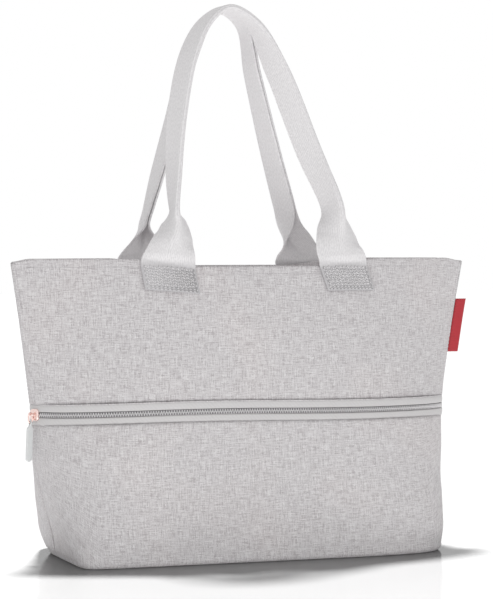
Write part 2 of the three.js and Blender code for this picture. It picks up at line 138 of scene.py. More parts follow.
# The upper body: an open sleeve of light grey melange polyester cloth, cut as a front and a back panel that
# meet in the two side seams. The rim is turned in once and held by a single row of stitches.
RIM_WIDTH, RIM_DEPTH, RIM_HEIGHT = 0.420, 0.107, 0.2498
RIM_RISE, SEAM_DROP = 0.0065, 0.0025
RISE_SPAN, DROP_SPAN = (0.14 * RIM_WIDTH, 0.27 * RIM_WIDTH), (0.45 * RIM_WIDTH, 0.5 * RIM_WIDTH)
ZIP_HEIGHT, ZIP_SAG, ZIP_WAVE, ZIP_WIDTH, ZIP_DEPTH = 0.1272, 0.0034, 0.0011, 0.380, 0.148
BASE_WIDTH, BASE_DEPTH, BASE_ROUND = 0.341, 0.176, 0.005
CLOTH, HEM_CLOTH, HEM_HEIGHT = 0.002, 0.003, 0.013
TAPE, TAPE_WIDTH, TAPE_PROUD = 0.0016, 0.0058, 0.0008
CHAIN_WIDTH, SEAM_GAP = 0.0044, 0.0003
SLEEVE_FOOT = ZIP_HEIGHT + CHAIN_WIDTH / 2 + TAPE_WIDTH + 2 * SEAM_GAP
TUB_TOP = ZIP_HEIGHT - CHAIN_WIDTH / 2 - TAPE_WIDTH - 2 * SEAM_GAP
TUB = {"up": (0, 0.17, 0.45, 0.75, 1), "wide": (0, 0.11, 0.56, 0.88, 1), "deep": (0, 0, 0.18, 0.55, 1),
       "lean": (0, -0.006, -0.008, -0.008, -0.003), "ends": (9, 6.5, 4, 3.1, 2.7), "faces": (8, 5, 2.7, 2, 1.7)}
SLEEVE = {"up": (0, 0.3, 0.65, 1), "wide": (0, 0.29, 0.63, 1), "deep": (0, 0.25, 0.6, 1),
          "lean": (-0.003, 0, 0.004, 0.008), "ends": (2.7, 2.5, 2.3, 2.1), "faces": (1.7, 1.4, 1.2, 1.05)}
AROUND = 96
BASE_CORNERS = {"back_right": 0.45, "back_left": 0.38, "front_left": 1.7, "front_right": 0.6}
CORNERS_FADE = 0.026


def smooth_rows(at, values, share):
    """Value at each share on a cubic through the rows, whose slope at a row is the mean of its two sides'."""
    at, values = np.asarray(at, float), np.asarray(values, float)
    last = len(at) - 2
    i = np.clip(np.searchsorted(at, share, "left") - 1, 0, last)
    slope = np.diff(values) / np.diff(at)
    before = np.where(i > 0, (slope[np.maximum(i - 1, 0)] + slope[i]) / 2, slope[i])
    after = np.where(i < last, (slope[i] + slope[np.minimum(i + 1, last)]) / 2, slope[i])
    span = at[i + 1] - at[i]
    t = np.clip((share - at[i]) / span, 0, 1)
    return (values[i] + t * t * (3 - 2 * t) * (values[i + 1] - values[i])
            + span * t * (1 - t) * ((1 - t) * before - t * after))


def smooth_step(value, low, high):
    """0 under low, 1 over high, and three squares less two cubes of the share between them."""
    t = np.clip((value - low) / (high - low), 0, 1)
    return t * t * (3 - 2 * t)


def rim_height(x):
    """Rim height at a place along the bag: it rises beside the handles and drops a little at the seams."""
    rise = RIM_RISE * smooth_step(np.abs(x), *RISE_SPAN)
    return RIM_HEIGHT + rise - SEAM_DROP * smooth_step(np.abs(x), *DROP_SPAN)


def zip_sag(x):
    """How far the zip hangs below its middle: the sag times the square of the share of the half width, and
    a slow half wave that lifts it on the left and lowers it on the right."""
    share = np.clip(2 * x / ZIP_WIDTH, -1, 1)
    return ZIP_SAG * share ** 2 + ZIP_WAVE * np.sin(math.pi * share) * (1 - share ** 2)


def section_at(z):
    """Half width, half depth, lean and the two powers of the cloth's section at each height."""
    z = np.asarray(z, float)
    low = z <= ZIP_HEIGHT
    share = np.clip(np.where(low, z / ZIP_HEIGHT, (z - ZIP_HEIGHT) / (RIM_HEIGHT - ZIP_HEIGHT)), 0, 1.03)
    pick = lambda key: np.where(low, smooth_rows(TUB["up"], TUB[key], share),
                                smooth_rows(SLEEVE["up"], SLEEVE[key], share))
    wide, deep = pick("wide"), pick("deep")
    half_width = np.where(low, BASE_WIDTH + (ZIP_WIDTH - BASE_WIDTH) * wide,
                          ZIP_WIDTH + (RIM_WIDTH - ZIP_WIDTH) * wide) / 2
    half_depth = np.where(low, BASE_DEPTH + (ZIP_DEPTH - BASE_DEPTH) * deep,
                          ZIP_DEPTH + (RIM_DEPTH - ZIP_DEPTH) * deep) / 2
    return half_width, half_depth, pick("lean"), pick("ends"), pick("faces")


def panel_depth(x, z):
    """Depth of the cloth from the middle plane: half depth times (1 - |x/a|^ends)^(1/faces)."""
    foot = SLEEVE_FOOT - zip_sag(x)
    share = (z - foot) / (rim_height(x) - foot)
    a, b, lean, ends, faces = section_at(SLEEVE_FOOT + share * (RIM_HEIGHT - SLEEVE_FOOT))
    return b * np.maximum(0, 1 - np.abs(x / a - lean) ** ends) ** (1 / faces)


def section_rings(reference, inset, quarter=AROUND):
    """One closed ring of |x/a|^ends + |y/b|^faces = 1 for each reference height, evenly spaced along its own
    length and moved inwards by an inset. It runs from the +X seam past the back to the -X seam and round, and
    near the base each quarter's powers are multiplied by its own corner's share."""
    a, b, lean, ends, faces = (v[:, None] for v in section_at(np.atleast_1d(reference)))
    turn = np.linspace(0, math.pi / 2, 241)[None, :]
    near = 1 - smooth_step(np.atleast_1d(reference), 0, CORNERS_FADE)[:, None]
    lift = 2.0 * np.arange(len(a))[:, None]
    want = np.linspace(0, 1, quarter + 1)[None, :] + lift
    parts_x, parts_y = [], []
    for k, sharp in enumerate(BASE_CORNERS.values()):
        power = 1 + (sharp - 1) * near
        x, y = a * np.cos(turn) ** (2 / ends / power), b * np.sin(turn) ** (2 / faces / power)
        run = np.concatenate([np.zeros_like(a), np.cumsum(np.hypot(np.diff(x), np.diff(y)), axis=1)], axis=1)
        flat = (run / run[:, -1:] + lift).ravel()
        x, y = np.interp(want, flat, x.ravel()), np.interp(want, flat, y.ravel())
        order = slice(0, -1) if k % 2 == 0 else slice(None, 0, -1)
        parts_x.append(x[:, order] * (1, -1, -1, 1)[k])
        parts_y.append(y[:, order] * (1, 1, -1, -1)[k])
    ring_x, ring_y = np.concatenate(parts_x, axis=1), np.concatenate(parts_y, axis=1)
    along_x = np.roll(ring_x, -1, 1) - np.roll(ring_x, 1, 1)
    along_y = np.roll(ring_y, -1, 1) - np.roll(ring_y, 1, 1)
    size = np.hypot(along_x, along_y)
    inset = np.asarray(inset, float)
    inset = inset[:, None] if inset.ndim == 1 else inset
    return ring_x + lean * a - inset * along_y / size, ring_y + inset * along_x / size


def panel_reach(x, y):
    """Distance along the cloth from the middle of the panel: running length between ring points, counted both
    ways from the front or back middle, with the back panel set one metre along so that its cloth differs."""
    columns = x.shape[1]
    step = np.hypot(np.roll(x, -1, 1) - x, np.roll(y, -1, 1) - y)
    run = np.concatenate([np.zeros((len(x), 1)), np.cumsum(step, axis=1)], axis=1)
    half = columns // 2
    back = run - run[:, half // 2][:, None] + 1.0
    front = run - run[:, half + half // 2][:, None]
    on_back = np.arange(columns)[None, :] < half
    return np.where(on_back, back[:, :-1], front[:, :-1]), np.where(on_back, back[:, 1:], front[:, 1:])


def placed_mesh(name, vertices, quads, triangles):
    """A smooth mesh of four-sided and three-sided faces, filled from whole arrays and put in the scene."""
    mesh = bpy.data.meshes.new(name)
    mesh.vertices.add(len(vertices))
    mesh.vertices.foreach_set("co", vertices.astype(np.float32).ravel())
    mesh.loops.add(quads.size + triangles.size)
    mesh.loops.foreach_set("vertex_index", np.concatenate([quads.ravel(), triangles.ravel()]).astype(np.int32))
    mesh.polygons.add(len(quads) + len(triangles))
    starts = np.concatenate([np.arange(len(quads)) * 4, quads.size + np.arange(len(triangles)) * 3])
    mesh.polygons.foreach_set("loop_start", starts.astype(np.int32))
    mesh.update(calc_edges=True)
    mesh.polygons.foreach_set("use_smooth", np.full(len(mesh.polygons), True))
    made = bpy.data.objects.new(name, mesh)
    bpy.context.scene.collection.objects.link(made)
    return made


def surface(name, points, uv=None, wrap=False, poles=(None, None)):
    """A mesh over a grid of rings that close on themselves. Rows join their neighbours, the last row joins
    the first if it wraps, and a pole point closes an end with a fan. uv holds each column's left and right."""
    rows, columns = points.shape[:2]
    r = np.arange(rows if wrap else rows - 1)[:, None]
    c = np.arange(columns)[None, :]
    up, right = (r + 1) % rows, (c + 1) % columns
    quads = np.stack([r * columns + c, r * columns + right, up * columns + right, up * columns + c], -1)
    quads = quads.reshape(-1, 4)
    vertices = [points.reshape(-1, 3)]
    fans = []
    for end, pole in enumerate(poles):
        if pole is not None:
            centre = rows * columns + len(vertices) - 1
            ring = (rows - 1 if end else 0) * columns
            i, j = ring + c[0], ring + right[0]
            pair = (i, j) if end else (j, i)
            fans.append(np.stack([*pair, np.full(columns, centre)], -1))
            vertices.append(np.asarray(pole, float)[None, :])
    vertices = np.concatenate(vertices)
    triangles = np.concatenate(fans) if fans else np.zeros((0, 3), int)
    made = placed_mesh(name, vertices, quads, triangles)
    made.data.validate()
    if uv is not None:
        left, right_u, v = uv
        top = (np.arange(len(r)) + 1) % rows
        low = np.arange(len(r))
        corners = np.stack([
            np.stack([left[low], v[low]], -1), np.stack([right_u[low], np.roll(v, -1, 1)[low]], -1),
            np.stack([right_u[top], np.roll(v, -1, 1)[top]], -1), np.stack([left[top], v[top]], -1)], -2)
        flat = np.zeros((quads.size + triangles.size, 2), np.float32)
        flat[:quads.size] = corners.reshape(-1, 2)
        tail = vertices[triangles.ravel()]
        flat[quads.size:] = tail[:, :2]
        made.data.uv_layers.new(name="weave").data.foreach_set("uv", flat.ravel())
    return made


def dress(piece, material, slot, *nodes, body="bag"):
    """Gives a piece its material and its body, and hides the solids that it stands for. The slot is not used.
    """
    piece.data.materials.append(material)
    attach(piece, body)
    if nodes:
        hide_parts(*nodes)


def soft_waves(along, up, size):
    """Slow unevenness of hanging cloth: three crossed sines of different lengths, at most one size high."""
    return size * (0.45 * np.sin(along * 31 + up * 19) + 0.3 * np.sin(along * 57 - up * 41 + 1.3)
                   + 0.25 * np.sin(along * 17 + up * 83 + 2.1))


def pucker(along, from_seam, size):
    """Gathers beside a seam: a wave about 9 mm long along it that dies away within 7 mm of it."""
    return size * np.sin(along * 700 + 1.7 * np.sin(along * 83)) * np.exp(-(np.abs(from_seam) / 0.007) ** 1.5)


# Melange polyester plain weave: yarns spun from light and dark fibre give short level and upright dashes.
# The yarns are 0.5 mm apart; the dashes are drawn coarser, 0.8 mm wide and changing direction about every
# 1.3 mm, because finer ones would not show.
CLOTH_LIGHT, CLOTH_MIDDLE, CLOTH_DARK, CLOTH_WARM = "#DDDADC", "#CAC7C8", "#ABA6A8", "#CDC6C3"
SLUB_LENGTH, SLUB_WIDTH, YARN = 0.011, 0.0008, 0.0013
WEAVE_RAMP = (0.39, 0.5, 0.61)


def melange_cloth(name, light, middle, dark, warm):
    """Plain weave: noise drawn long along the level and upright yarns, one over the other by turns."""
    made, tree, shader = finish_of(name, Roughness=0.88, Sheen_Weight=0.12, Sheen_Roughness=0.6)
    shader.inputs["Specular IOR Level"].default_value = 0.25
    place = put(tree, "ShaderNodeUVMap", uv_map="weave").outputs[0]
    slubs = []
    for scale in ((1 / SLUB_LENGTH, 1 / SLUB_WIDTH, 1), (1 / SLUB_WIDTH, 1 / SLUB_LENGTH, 1)):
        drawn = put(tree, "ShaderNodeVectorMath", {0: place, 1: scale}, operation="MULTIPLY").outputs[0]
        slubs.append(put(tree, "ShaderNodeTexNoise", {"Vector": drawn, "Scale": 1.0, "Detail": 3.0,
                                                      "Roughness": 0.8}, noise_dimensions="2D").outputs[0])
    checker = put(tree, "ShaderNodeTexNoise", {"Vector": place, "Scale": 1 / YARN, "Detail": 0.0},
                  noise_dimensions="2D").outputs[0]
    over = put(tree, "ShaderNodeMapRange", {0: checker, 1: 0.35, 2: 0.65, 3: 0.15, 4: 0.85}).outputs[0]
    yarns = put(tree, "ShaderNodeMix", {0: over, 2: slubs[0], 3: slubs[1]}, data_type="FLOAT").outputs[0]
    tone = put(tree, "ShaderNodeValToRGB", {0: yarns})
    for stop, (spot, colour) in zip([*tone.color_ramp.elements, tone.color_ramp.elements.new(0.5)],
                                    zip(np.array(WEAVE_RAMP)[[0, 2, 1]].tolist(), (dark, light, middle))):
        stop.position, stop.color = spot, srgb(colour)
    patch = put(tree, "ShaderNodeTexNoise", {"Vector": place, "Scale": 14.0, "Detail": 1.0},
                noise_dimensions="2D").outputs[0]
    share = put(tree, "ShaderNodeMapRange", {0: patch, 1: 0.45, 2: 0.75, 3: 0.0, 4: 0.3}).outputs[0]
    tinted = put(tree, "ShaderNodeMix", {0: share, 6: tone.outputs[0], 7: srgb(warm)},
                 data_type="RGBA", blend_type="SOFT_LIGHT").outputs[2]
    tree.links.new(tinted, shader.inputs["Base Color"])
    height = put(tree, "ShaderNodeMath", {0: yarns, 1: checker, 2: checker},
                 operation="MULTIPLY_ADD").outputs[0]
    bump = put(tree, "ShaderNodeBump", {"Height": height, "Strength": 0.35, "Distance": 0.00025})
    tree.links.new(bump.outputs[0], shader.inputs["Normal"])
    return made


cloth = melange_cloth("melange_polyester_woven", CLOTH_LIGHT, CLOTH_MIDDLE, CLOTH_DARK, CLOTH_WARM)

WALL_ROWS, HEM_ROWS, RIM_ROWS = 46, 7, 5
RIM_ROUND, SLEEVE_WAVE, SEAM_PUCKER = 0.00075, 0.0007, 0.0003
sleeve_height = RIM_HEIGHT - SLEEVE_FOOT
outside = np.linspace(0, 1 - HEM_HEIGHT / sleeve_height, WALL_ROWS)
inside = outside[::-2]
hem = np.linspace(outside[-1], 1, HEM_ROWS + 2)[1:-1]
shares = np.concatenate([outside, hem, np.ones(RIM_ROWS), hem[::-1], inside])
turn = np.linspace(0, math.pi, RIM_ROWS)
insets = np.concatenate([np.zeros(WALL_ROWS + HEM_ROWS), HEM_CLOTH / 2 * (1 - np.cos(turn)),
                         np.full(HEM_ROWS, HEM_CLOTH), np.full(len(inside), CLOTH)])
drops = np.concatenate([np.zeros(WALL_ROWS + HEM_ROWS), RIM_ROUND * (1 - np.sin(turn)),
                        np.zeros(HEM_ROWS + len(inside))])
x, y = section_rings(SLEEVE_FOOT + shares * sleeve_height, insets)
reach, reach_next = panel_reach(x, y)
lift = shares[:, None] * sleeve_height
ripple = (soft_waves(reach, lift, SLEEVE_WAVE) * np.sin(math.pi * np.clip(shares, 0, 1))[:, None]
          + pucker(reach, lift, SEAM_PUCKER))
x, y = section_rings(SLEEVE_FOOT + shares * sleeve_height, insets[:, None] - ripple)
z = (1 - shares[:, None]) * (SLEEVE_FOOT - zip_sag(x)) + shares[:, None] * rim_height(x) - drops[:, None]
upper = surface("upper_body_cloth", np.stack([x, y, z], -1), (reach, reach_next, z), wrap=True)
dress(upper, cloth, "melange_cloth", "upper_body")


# The hem's stitches: one row of polyester sewing thread all round, 7 mm under the rim. Each stitch is a short
# thread that dips into the cloth at both ends.
STITCH, STITCH_GAP, THREAD, HEM_ROW_DROP = 0.0026, 0.0008, 0.00022, 0.0068
THREAD_COLOUR, THREAD_SHADE = "#D2D0D1", "#B9B7B8"


def stitches(name, starts, ends, outs, radius, sides=6, swell=(0.35, 1, 1, 0.35)):
    """Short threads as six-sided capsules: four rings along each start-to-end line, whose radii swell and
    fall, closed by a point at both ends, all placed as whole arrays."""
    way = ends - starts
    length = np.linalg.norm(way, axis=1, keepdims=True)
    way = way / length
    aside = np.cross(outs, way)
    aside /= np.linalg.norm(aside, axis=1, keepdims=True)
    outs = np.cross(way, aside)
    spots = np.array([0.04, 0.2, 0.8, 0.96])
    angles = np.arange(sides) * 2 * math.pi / sides
    ring = (np.cos(angles)[None, None, :, None] * aside[:, None, None, :]
            + np.sin(angles)[None, None, :, None] * outs[:, None, None, :])
    centre = starts[:, None, :] + spots[None, :, None] * (way * length)[:, None, :]
    body = centre[:, :, None, :] + radius * np.array(swell)[None, :, None, None] * ring
    count, size = len(starts), 4 * sides + 2
    vertices = np.concatenate([body.reshape(count, -1, 3), starts[:, None], ends[:, None]], axis=1)
    vertices = vertices.reshape(-1, 3)
    r, c = np.arange(3)[:, None], np.arange(sides)[None, :]
    n = (c + 1) % sides
    quads = np.stack([r * sides + c, r * sides + n, (r + 1) * sides + n, (r + 1) * sides + c], -1)
    quads = quads.reshape(-1, 4)
    first = np.stack([n[0], c[0], np.full(sides, 4 * sides)], -1)
    last = np.stack([3 * sides + c[0], 3 * sides + n[0], np.full(sides, 4 * sides + 1)], -1)
    shift = (np.arange(count) * size)[:, None, None]
    quads = (quads[None] + shift).reshape(-1, 4)
    triangles = (np.concatenate([first, last])[None] + shift).reshape(-1, 3)
    return placed_mesh(name, vertices, quads, triangles)


def outward(points):
    """Outward way of a closed ring of points: its direction turned a quarter to the right, level."""
    along = np.roll(points, -1, 0) - np.roll(points, 1, 0)
    out = np.stack([along[:, 1], -along[:, 0], np.zeros(len(points))], -1)
    return out / np.linalg.norm(out, axis=1, keepdims=True)


def row_along(points, outs, stitch, gap, closed=False):
    """Start, end and outward way of stitches set at even steps along a line, found by its running length."""
    if closed:
        points, outs = np.concatenate([points, points[:1]]), np.concatenate([outs, outs[:1]])
    run = np.concatenate([[0], np.cumsum(np.linalg.norm(np.diff(points, axis=0), axis=1))])
    count = max(1, int(run[-1] / (stitch + gap)))
    begin = np.arange(count) * run[-1] / count
    at = lambda where, rows: np.stack([np.interp(where, run, rows[:, k]) for k in range(3)], -1)
    return at(begin, points), at(begin + stitch, points), at(begin + stitch / 2, outs)


def two_tone(tree, share, colour, shade):
    """A colour that passes into its shade as the share rises from none to all of it."""
    mixed = put(tree, "ShaderNodeMix", {0: share, 6: srgb(colour), 7: srgb(shade)}, data_type="RGBA")
    return mixed.outputs[2]


def sewing_thread(name, colour):
    """Twisted polyester thread: a bright, slightly glossy strand with a fine slanting twist in its bump."""
    made, tree, shader = finish_of(name, Roughness=0.55, Sheen_Weight=0.1)
    shader.inputs["Specular IOR Level"].default_value = 0.35
    place = put(tree, "ShaderNodeTexCoord").outputs["Object"]
    twist = put(tree, "ShaderNodeTexWave", {"Vector": place, "Scale": 900.0, "Distortion": 2.0},
                bands_direction="DIAGONAL").outputs[1]
    tone = two_tone(tree, twist, colour, THREAD_SHADE)
    tree.links.new(tone, shader.inputs["Base Color"])
    bump = put(tree, "ShaderNodeBump", {"Height": twist, "Strength": 0.4, "Distance": 0.00008})
    tree.links.new(bump.outputs[0], shader.inputs["Normal"])
    return made


thread = sewing_thread("twisted_polyester_thread", THREAD_COLOUR)
share = 1 - HEM_ROW_DROP / sleeve_height
x, y = section_rings(np.array([RIM_HEIGHT - HEM_ROW_DROP]), np.array([-0.6 * THREAD]))
line = np.stack([x[0], y[0], (1 - share) * (SLEEVE_FOOT - zip_sag(x[0])) + share * rim_height(x[0])], -1)
hem_row = stitches("hem_stitches", *row_along(line, outward(line), STITCH, STITCH_GAP, closed=True), THREAD)
dress(hem_row, thread, "melange_cloth")


# The lower body: the tub under the zip, of the same cloth, boxed at the bottom so that it stands flat. Its
# walls lean out towards the base, and its corners stay soft because nothing stiffens them.
def tub_rings(share, inset, ripple):
    """Rings of the tub's wall at shares of its height. Each ring follows the sagging zip in its share."""
    x, y = section_rings(TUB_TOP * share, inset[:, None] - ripple)
    return x, y, share[:, None] * (TUB_TOP - zip_sag(x))


OUTER_ROWS, INNER_ROWS, EDGE_ROWS, TUB_WAVE = 44, 24, 7, 0.0009
SLANT_FROM, SLANT = 0.152, 0.9
walls = np.linspace(0.05, 1, OUTER_ROWS)
inner = np.linspace(1, 0.08, INNER_ROWS)
shares = np.concatenate([walls, inner])
insets = np.concatenate([np.zeros(OUTER_ROWS), np.full(INNER_ROWS, CLOTH)])
x, y = section_rings(TUB_TOP * shares, insets)
reach, reach_next = panel_reach(x, y)
ripple = (soft_waves(reach, shares[:, None] * TUB_TOP, TUB_WAVE) * np.sin(math.pi * shares)[:, None] ** 0.7
          + pucker(reach, (1 - shares[:, None]) * TUB_TOP, SEAM_PUCKER))
x, y, z = tub_rings(shares, insets, ripple)
edge_turn = np.linspace(0, math.pi / 2, EDGE_ROWS)
edge_inset, edge_up = BASE_ROUND * (1 - np.cos(edge_turn)), BASE_ROUND * (1 - np.sin(edge_turn))
edge_x, edge_y = section_rings(np.zeros(EDGE_ROWS), edge_inset)
under_share = np.array([0.12, 0.35, 0.6, 0.82, 0.95])
points = np.concatenate([
    np.stack([edge_x[-1] * under_share[:, None], edge_y[-1] * under_share[:, None],
              np.zeros((len(under_share), 4 * AROUND))], -1),
    np.stack([edge_x, edge_y, np.broadcast_to(edge_up[:, None], edge_x.shape)], -1)[::-1],
    np.stack([x, y, z], -1)])
corner_x, corner_y = section_rings(np.zeros(2), np.array([CLOTH + BASE_ROUND / 4, CLOTH + BASE_ROUND]))
inner_up = np.array([CLOTH + BASE_ROUND / 2, CLOTH])
points = np.concatenate([
    points, np.stack([corner_x, corner_y, np.broadcast_to(inner_up[:, None], corner_x.shape)], -1),
    np.stack([corner_x[-1] * under_share[::-1, None], corner_y[-1] * under_share[::-1, None],
              np.full((len(under_share), 4 * AROUND), CLOTH)], -1)])
reach, reach_next = panel_reach(points[..., 0], points[..., 1])
# The gusset cloth at the two ends was cut on the slant, so the level yarns run down towards the corners.
half_run = np.abs(np.where(reach > 0.5, reach - 1, reach))
past = np.maximum(0, half_run - SLANT_FROM) * (1 - np.clip(points[..., 2] / TUB_TOP, 0, 1))
lower = surface("lower_body_cloth", points, (reach, reach_next, points[..., 2] - SLANT * past),
                poles=((0, 0, 0), (0, 0, CLOTH)))
dress(lower, cloth, "melange_cloth", "lower_body")


# The side seams: where the front and back panels meet, a folded allowance lies flat over the join and two
# rows of stitches hold it, on the sleeve and on the tub, at both ends of the bag.
SEAM_WIDTH, SEAM_PROUD, SEAM_ROWS_APART = 0.0075, 0.0007, 0.0044
QUARTER_STEPS, NEAR_SEAM = 48, 12


def end_line(low, high, inset, aside, end, steps=60):
    """Points up one end of the bag between two heights, at a distance to one side of the seam. The distance
    is walked along the section's ring from the seam, which is where |x| is largest."""
    z = np.linspace(low, high, steps)
    upper_side = z >= ZIP_HEIGHT
    reference = np.where(upper_side, SLEEVE_FOOT + (z - SLEEVE_FOOT) * (RIM_HEIGHT - SLEEVE_FOOT)
                         / (rim_height(RIM_WIDTH / 2) - SLEEVE_FOOT), z)
    x, y = section_rings(reference, np.full(steps, inset), QUARTER_STEPS)
    seam = 0 if end > 0 else 2 * QUARTER_STEPS
    around = np.roll(np.stack([x, y], -1), NEAR_SEAM - seam, axis=1)[:, :2 * NEAR_SEAM + 1]
    strides = np.linalg.norm(np.diff(around, axis=1), axis=2)
    run = np.concatenate([np.zeros((steps, 1)), np.cumsum(strides, 1)], 1)
    run -= run[:, NEAR_SEAM:NEAR_SEAM + 1]
    lift = np.arange(steps)[:, None] * 2.0
    where = aside + lift[:, 0]
    px = np.interp(where, (run + lift).ravel(), around[..., 0].ravel())
    py = np.interp(where, (run + lift).ravel(), around[..., 1].ravel())
    return np.stack([px, py, z], -1)


def end_strip(name, low, high, end):
    """A flat strip up the seam: a closed loop of ten points across it, carried up the end of the bag."""
    across = np.array([-0.5, -0.49, -0.35, 0, 0.35, 0.49, 0.5, 0.35, 0, -0.35]) * SEAM_WIDTH
    proud = np.array([0.1, 0.75, 1, 1, 1, 0.75, 0.1, -0.6, -0.6, -0.6]) * SEAM_PROUD
    grid = np.stack([end_line(low, high, -p, a, end) for a, p in zip(across, proud)], 1)
    left = np.broadcast_to(across[None, :], grid.shape[:2]) + 3
    right = np.broadcast_to(np.roll(across, -1)[None, :], grid.shape[:2]) + 3
    return surface(name, grid, (left, right, grid[..., 2]), poles=(grid[0].mean(0), grid[-1].mean(0)))


SEAM_RUNS = [("sleeve", SLEEVE_FOOT - ZIP_SAG, rim_height(0.209) - 0.001), ("tub", 0.006, TUB_TOP - ZIP_SAG)]
for part, low, high in SEAM_RUNS:
    for side, end in (("right", 1), ("left", -1)):
        strip = end_strip(f"{part}_seam_{side}", low, high, end)
        dress(strip, cloth, "melange_cloth")
        rows = []
        for aside in (-SEAM_ROWS_APART / 2, SEAM_ROWS_APART / 2):
            spots = end_line(low + 0.001, high - 0.001, -SEAM_PROUD - 0.5 * THREAD, aside, end, 120)
            outs = np.broadcast_to(np.array([float(end), 0, 0]), spots.shape)
            rows.append(row_along(spots, outs, STITCH, STITCH_GAP))
        made = stitches(f"{part}_seam_{side}_stitches", *(np.concatenate(p) for p in zip(*rows)), THREAD)
        dress(made, thread, "melange_cloth")


# The zip tapes: two smooth polyester bands that stand slightly proud of the cloth they are sewn to. Their
# close twill and the pressing give them a lighter, satin look.
TAPE_COLOUR, TAPE_SHADE, TAPE_CROWN = "#C8C6C6", "#C1BFBF", 0.0004
PIPING, PIPING_THICK, PIPING_PROUD, PIPING_CROWN = 0.0014, 0.0012, 0.0004, 0.0002
OUTER_LOOP, INNER_LOOP = 12, 6


def waist_band(name, foot, top, thickness, proud, crown):
    """A band round the waist: a loop of points, crowned outside by a power of a half sine and flat inside,
    carried round the ring of the waist and lowered by the zip's sag."""
    rise = np.concatenate([np.linspace(0, 1, OUTER_LOOP), np.linspace(1, 0, INNER_LOOP)])
    inset = np.concatenate([-proud - crown * np.sin(math.pi * np.linspace(0, 1, OUTER_LOOP)) ** 0.6,
                            np.full(INNER_LOOP, thickness - proud)])
    inset[[0, OUTER_LOOP - 1]] += thickness / 4
    x, y = section_rings(np.full(len(rise), ZIP_HEIGHT), inset)
    z = foot + (top - foot) * rise[:, None] - zip_sag(x)
    reach, reach_next = panel_reach(x, y)
    v = np.broadcast_to((np.arange(len(rise)) * (top - foot) / (OUTER_LOOP - 1))[:, None], z.shape)
    return surface(name, np.stack([x, y, z], -1), (reach, reach_next, v), wrap=True)


def zip_tape_twill(name, colour, shade):
    """Narrow twill: slanting ridges under a soft sheen, with a faint uneven shade along the tape. The ridges
    are drawn about 2.5 mm apart, several times as coarse as they are, so that a few of them show."""
    made, tree, shader = finish_of(name, Roughness=0.5, Sheen_Weight=0.08)
    shader.inputs["Specular IOR Level"].default_value = 0.4
    place = put(tree, "ShaderNodeUVMap", uv_map="weave").outputs[0]
    ridge = put(tree, "ShaderNodeTexWave", {"Vector": place, "Scale": 175.0, "Distortion": 0.6, "Detail": 1.0},
                bands_direction="DIAGONAL").outputs[1]
    slow = put(tree, "ShaderNodeTexNoise", {"Vector": place, "Scale": 90.0, "Detail": 3.0},
               noise_dimensions="2D").outputs[0]
    both = put(tree, "ShaderNodeMath", {0: ridge, 1: slow}, operation="MULTIPLY").outputs[0]
    tone = two_tone(tree, both, colour, shade)
    tree.links.new(tone, shader.inputs["Base Color"])
    bump = put(tree, "ShaderNodeBump", {"Height": ridge, "Strength": 0.25, "Distance": 0.0001})
    tree.links.new(bump.outputs[0], shader.inputs["Normal"])
    return made


tape_finish = zip_tape_twill("polyester_twill_tape", TAPE_COLOUR, TAPE_SHADE)
chain_top, chain_foot = ZIP_HEIGHT + CHAIN_WIDTH / 2, ZIP_HEIGHT - CHAIN_WIDTH / 2
tape_feet = {"zip_tape_upper": chain_top + SEAM_GAP, "zip_tape_lower": chain_foot - SEAM_GAP - TAPE_WIDTH}
for name, foot in tape_feet.items():
    band = waist_band(f"{name}_band", foot, foot + TAPE_WIDTH, TAPE, TAPE_PROUD, TAPE_CROWN)
    dress(band, tape_finish, "zip_tape", name)
    join = foot + TAPE_WIDTH + SEAM_GAP / 2 if name == "zip_tape_upper" else foot - SEAM_GAP / 2
    piping = waist_band(f"{name}_seam", join - PIPING / 2, join + PIPING / 2, PIPING_THICK, PIPING_PROUD,
                        PIPING_CROWN)
    dress(piping, cloth, "melange_cloth")


# The zip chain: a nylon coil. Loops of the upper and the lower coil reach past the middle and lock into each
# other all round the bag, over a narrow ground whose dark grey is painted shade for the gaps between them.
TOOTH_STEP, TOOTH_REACH, TOOTH, TOOTH_PROUD, TOOTH_MARGIN = 0.0022, 0.0026, 0.0005, 0.00045, 0.0002
GROUND, GROUND_SUNK = 0.0016, 0.0002


def moulded_nylon(name, colour, shade, roughness):
    """Nylon monofilament: smooth and slightly glossy, a little uneven in tone from loop to loop."""
    made, tree, shader = finish_of(name, Roughness=roughness, IOR=1.53)
    place = put(tree, "ShaderNodeTexCoord").outputs["Object"]
    uneven = put(tree, "ShaderNodeTexNoise", {"Vector": place, "Scale": 500.0, "Detail": 2.0}).outputs[0]
    tone = two_tone(tree, uneven, colour, shade)
    tree.links.new(tone, shader.inputs["Base Color"])
    bump = put(tree, "ShaderNodeBump", {"Height": uneven, "Strength": 0.15, "Distance": 0.0001})
    tree.links.new(bump.outputs[0], shader.inputs["Normal"])
    return made


# Painted shade: the ground's dark grey stands for the shadow between the coil loops.
ground = waist_band("zip_chain_ground", chain_foot, chain_top, GROUND, -GROUND_SUNK, 0.0)
dress(ground, moulded_nylon("coil_ground_painted_gap_shade", "#949294", "#868486", 0.8), "zip_teeth", "zip_chain")
x, y = section_rings(np.array([ZIP_HEIGHT]), np.array([-TOOTH_PROUD]), 240)
line = np.stack([x[0], y[0], ZIP_HEIGHT - zip_sag(x[0])], -1)
outs = outward(line)
rows = []
for shift, sign in ((0, 1), (0.5, -1)):
    begin, _, out = row_along(line, outs, TOOTH_STEP / 2, TOOTH_STEP / 2, closed=True)
    following = np.roll(begin, -1, 0)
    middle = begin + shift * (following - begin)
    reach_up = np.array([0, 0, sign * (CHAIN_WIDTH / 2 - TOOTH_MARGIN)])
    rows.append((middle + reach_up, middle + reach_up - np.array([0, 0, sign * TOOTH_REACH]), out))
teeth = stitches("zip_coil_teeth", *(np.concatenate(p) for p in zip(*rows)), TOOTH, swell=(0.7, 1, 1, 0.7))
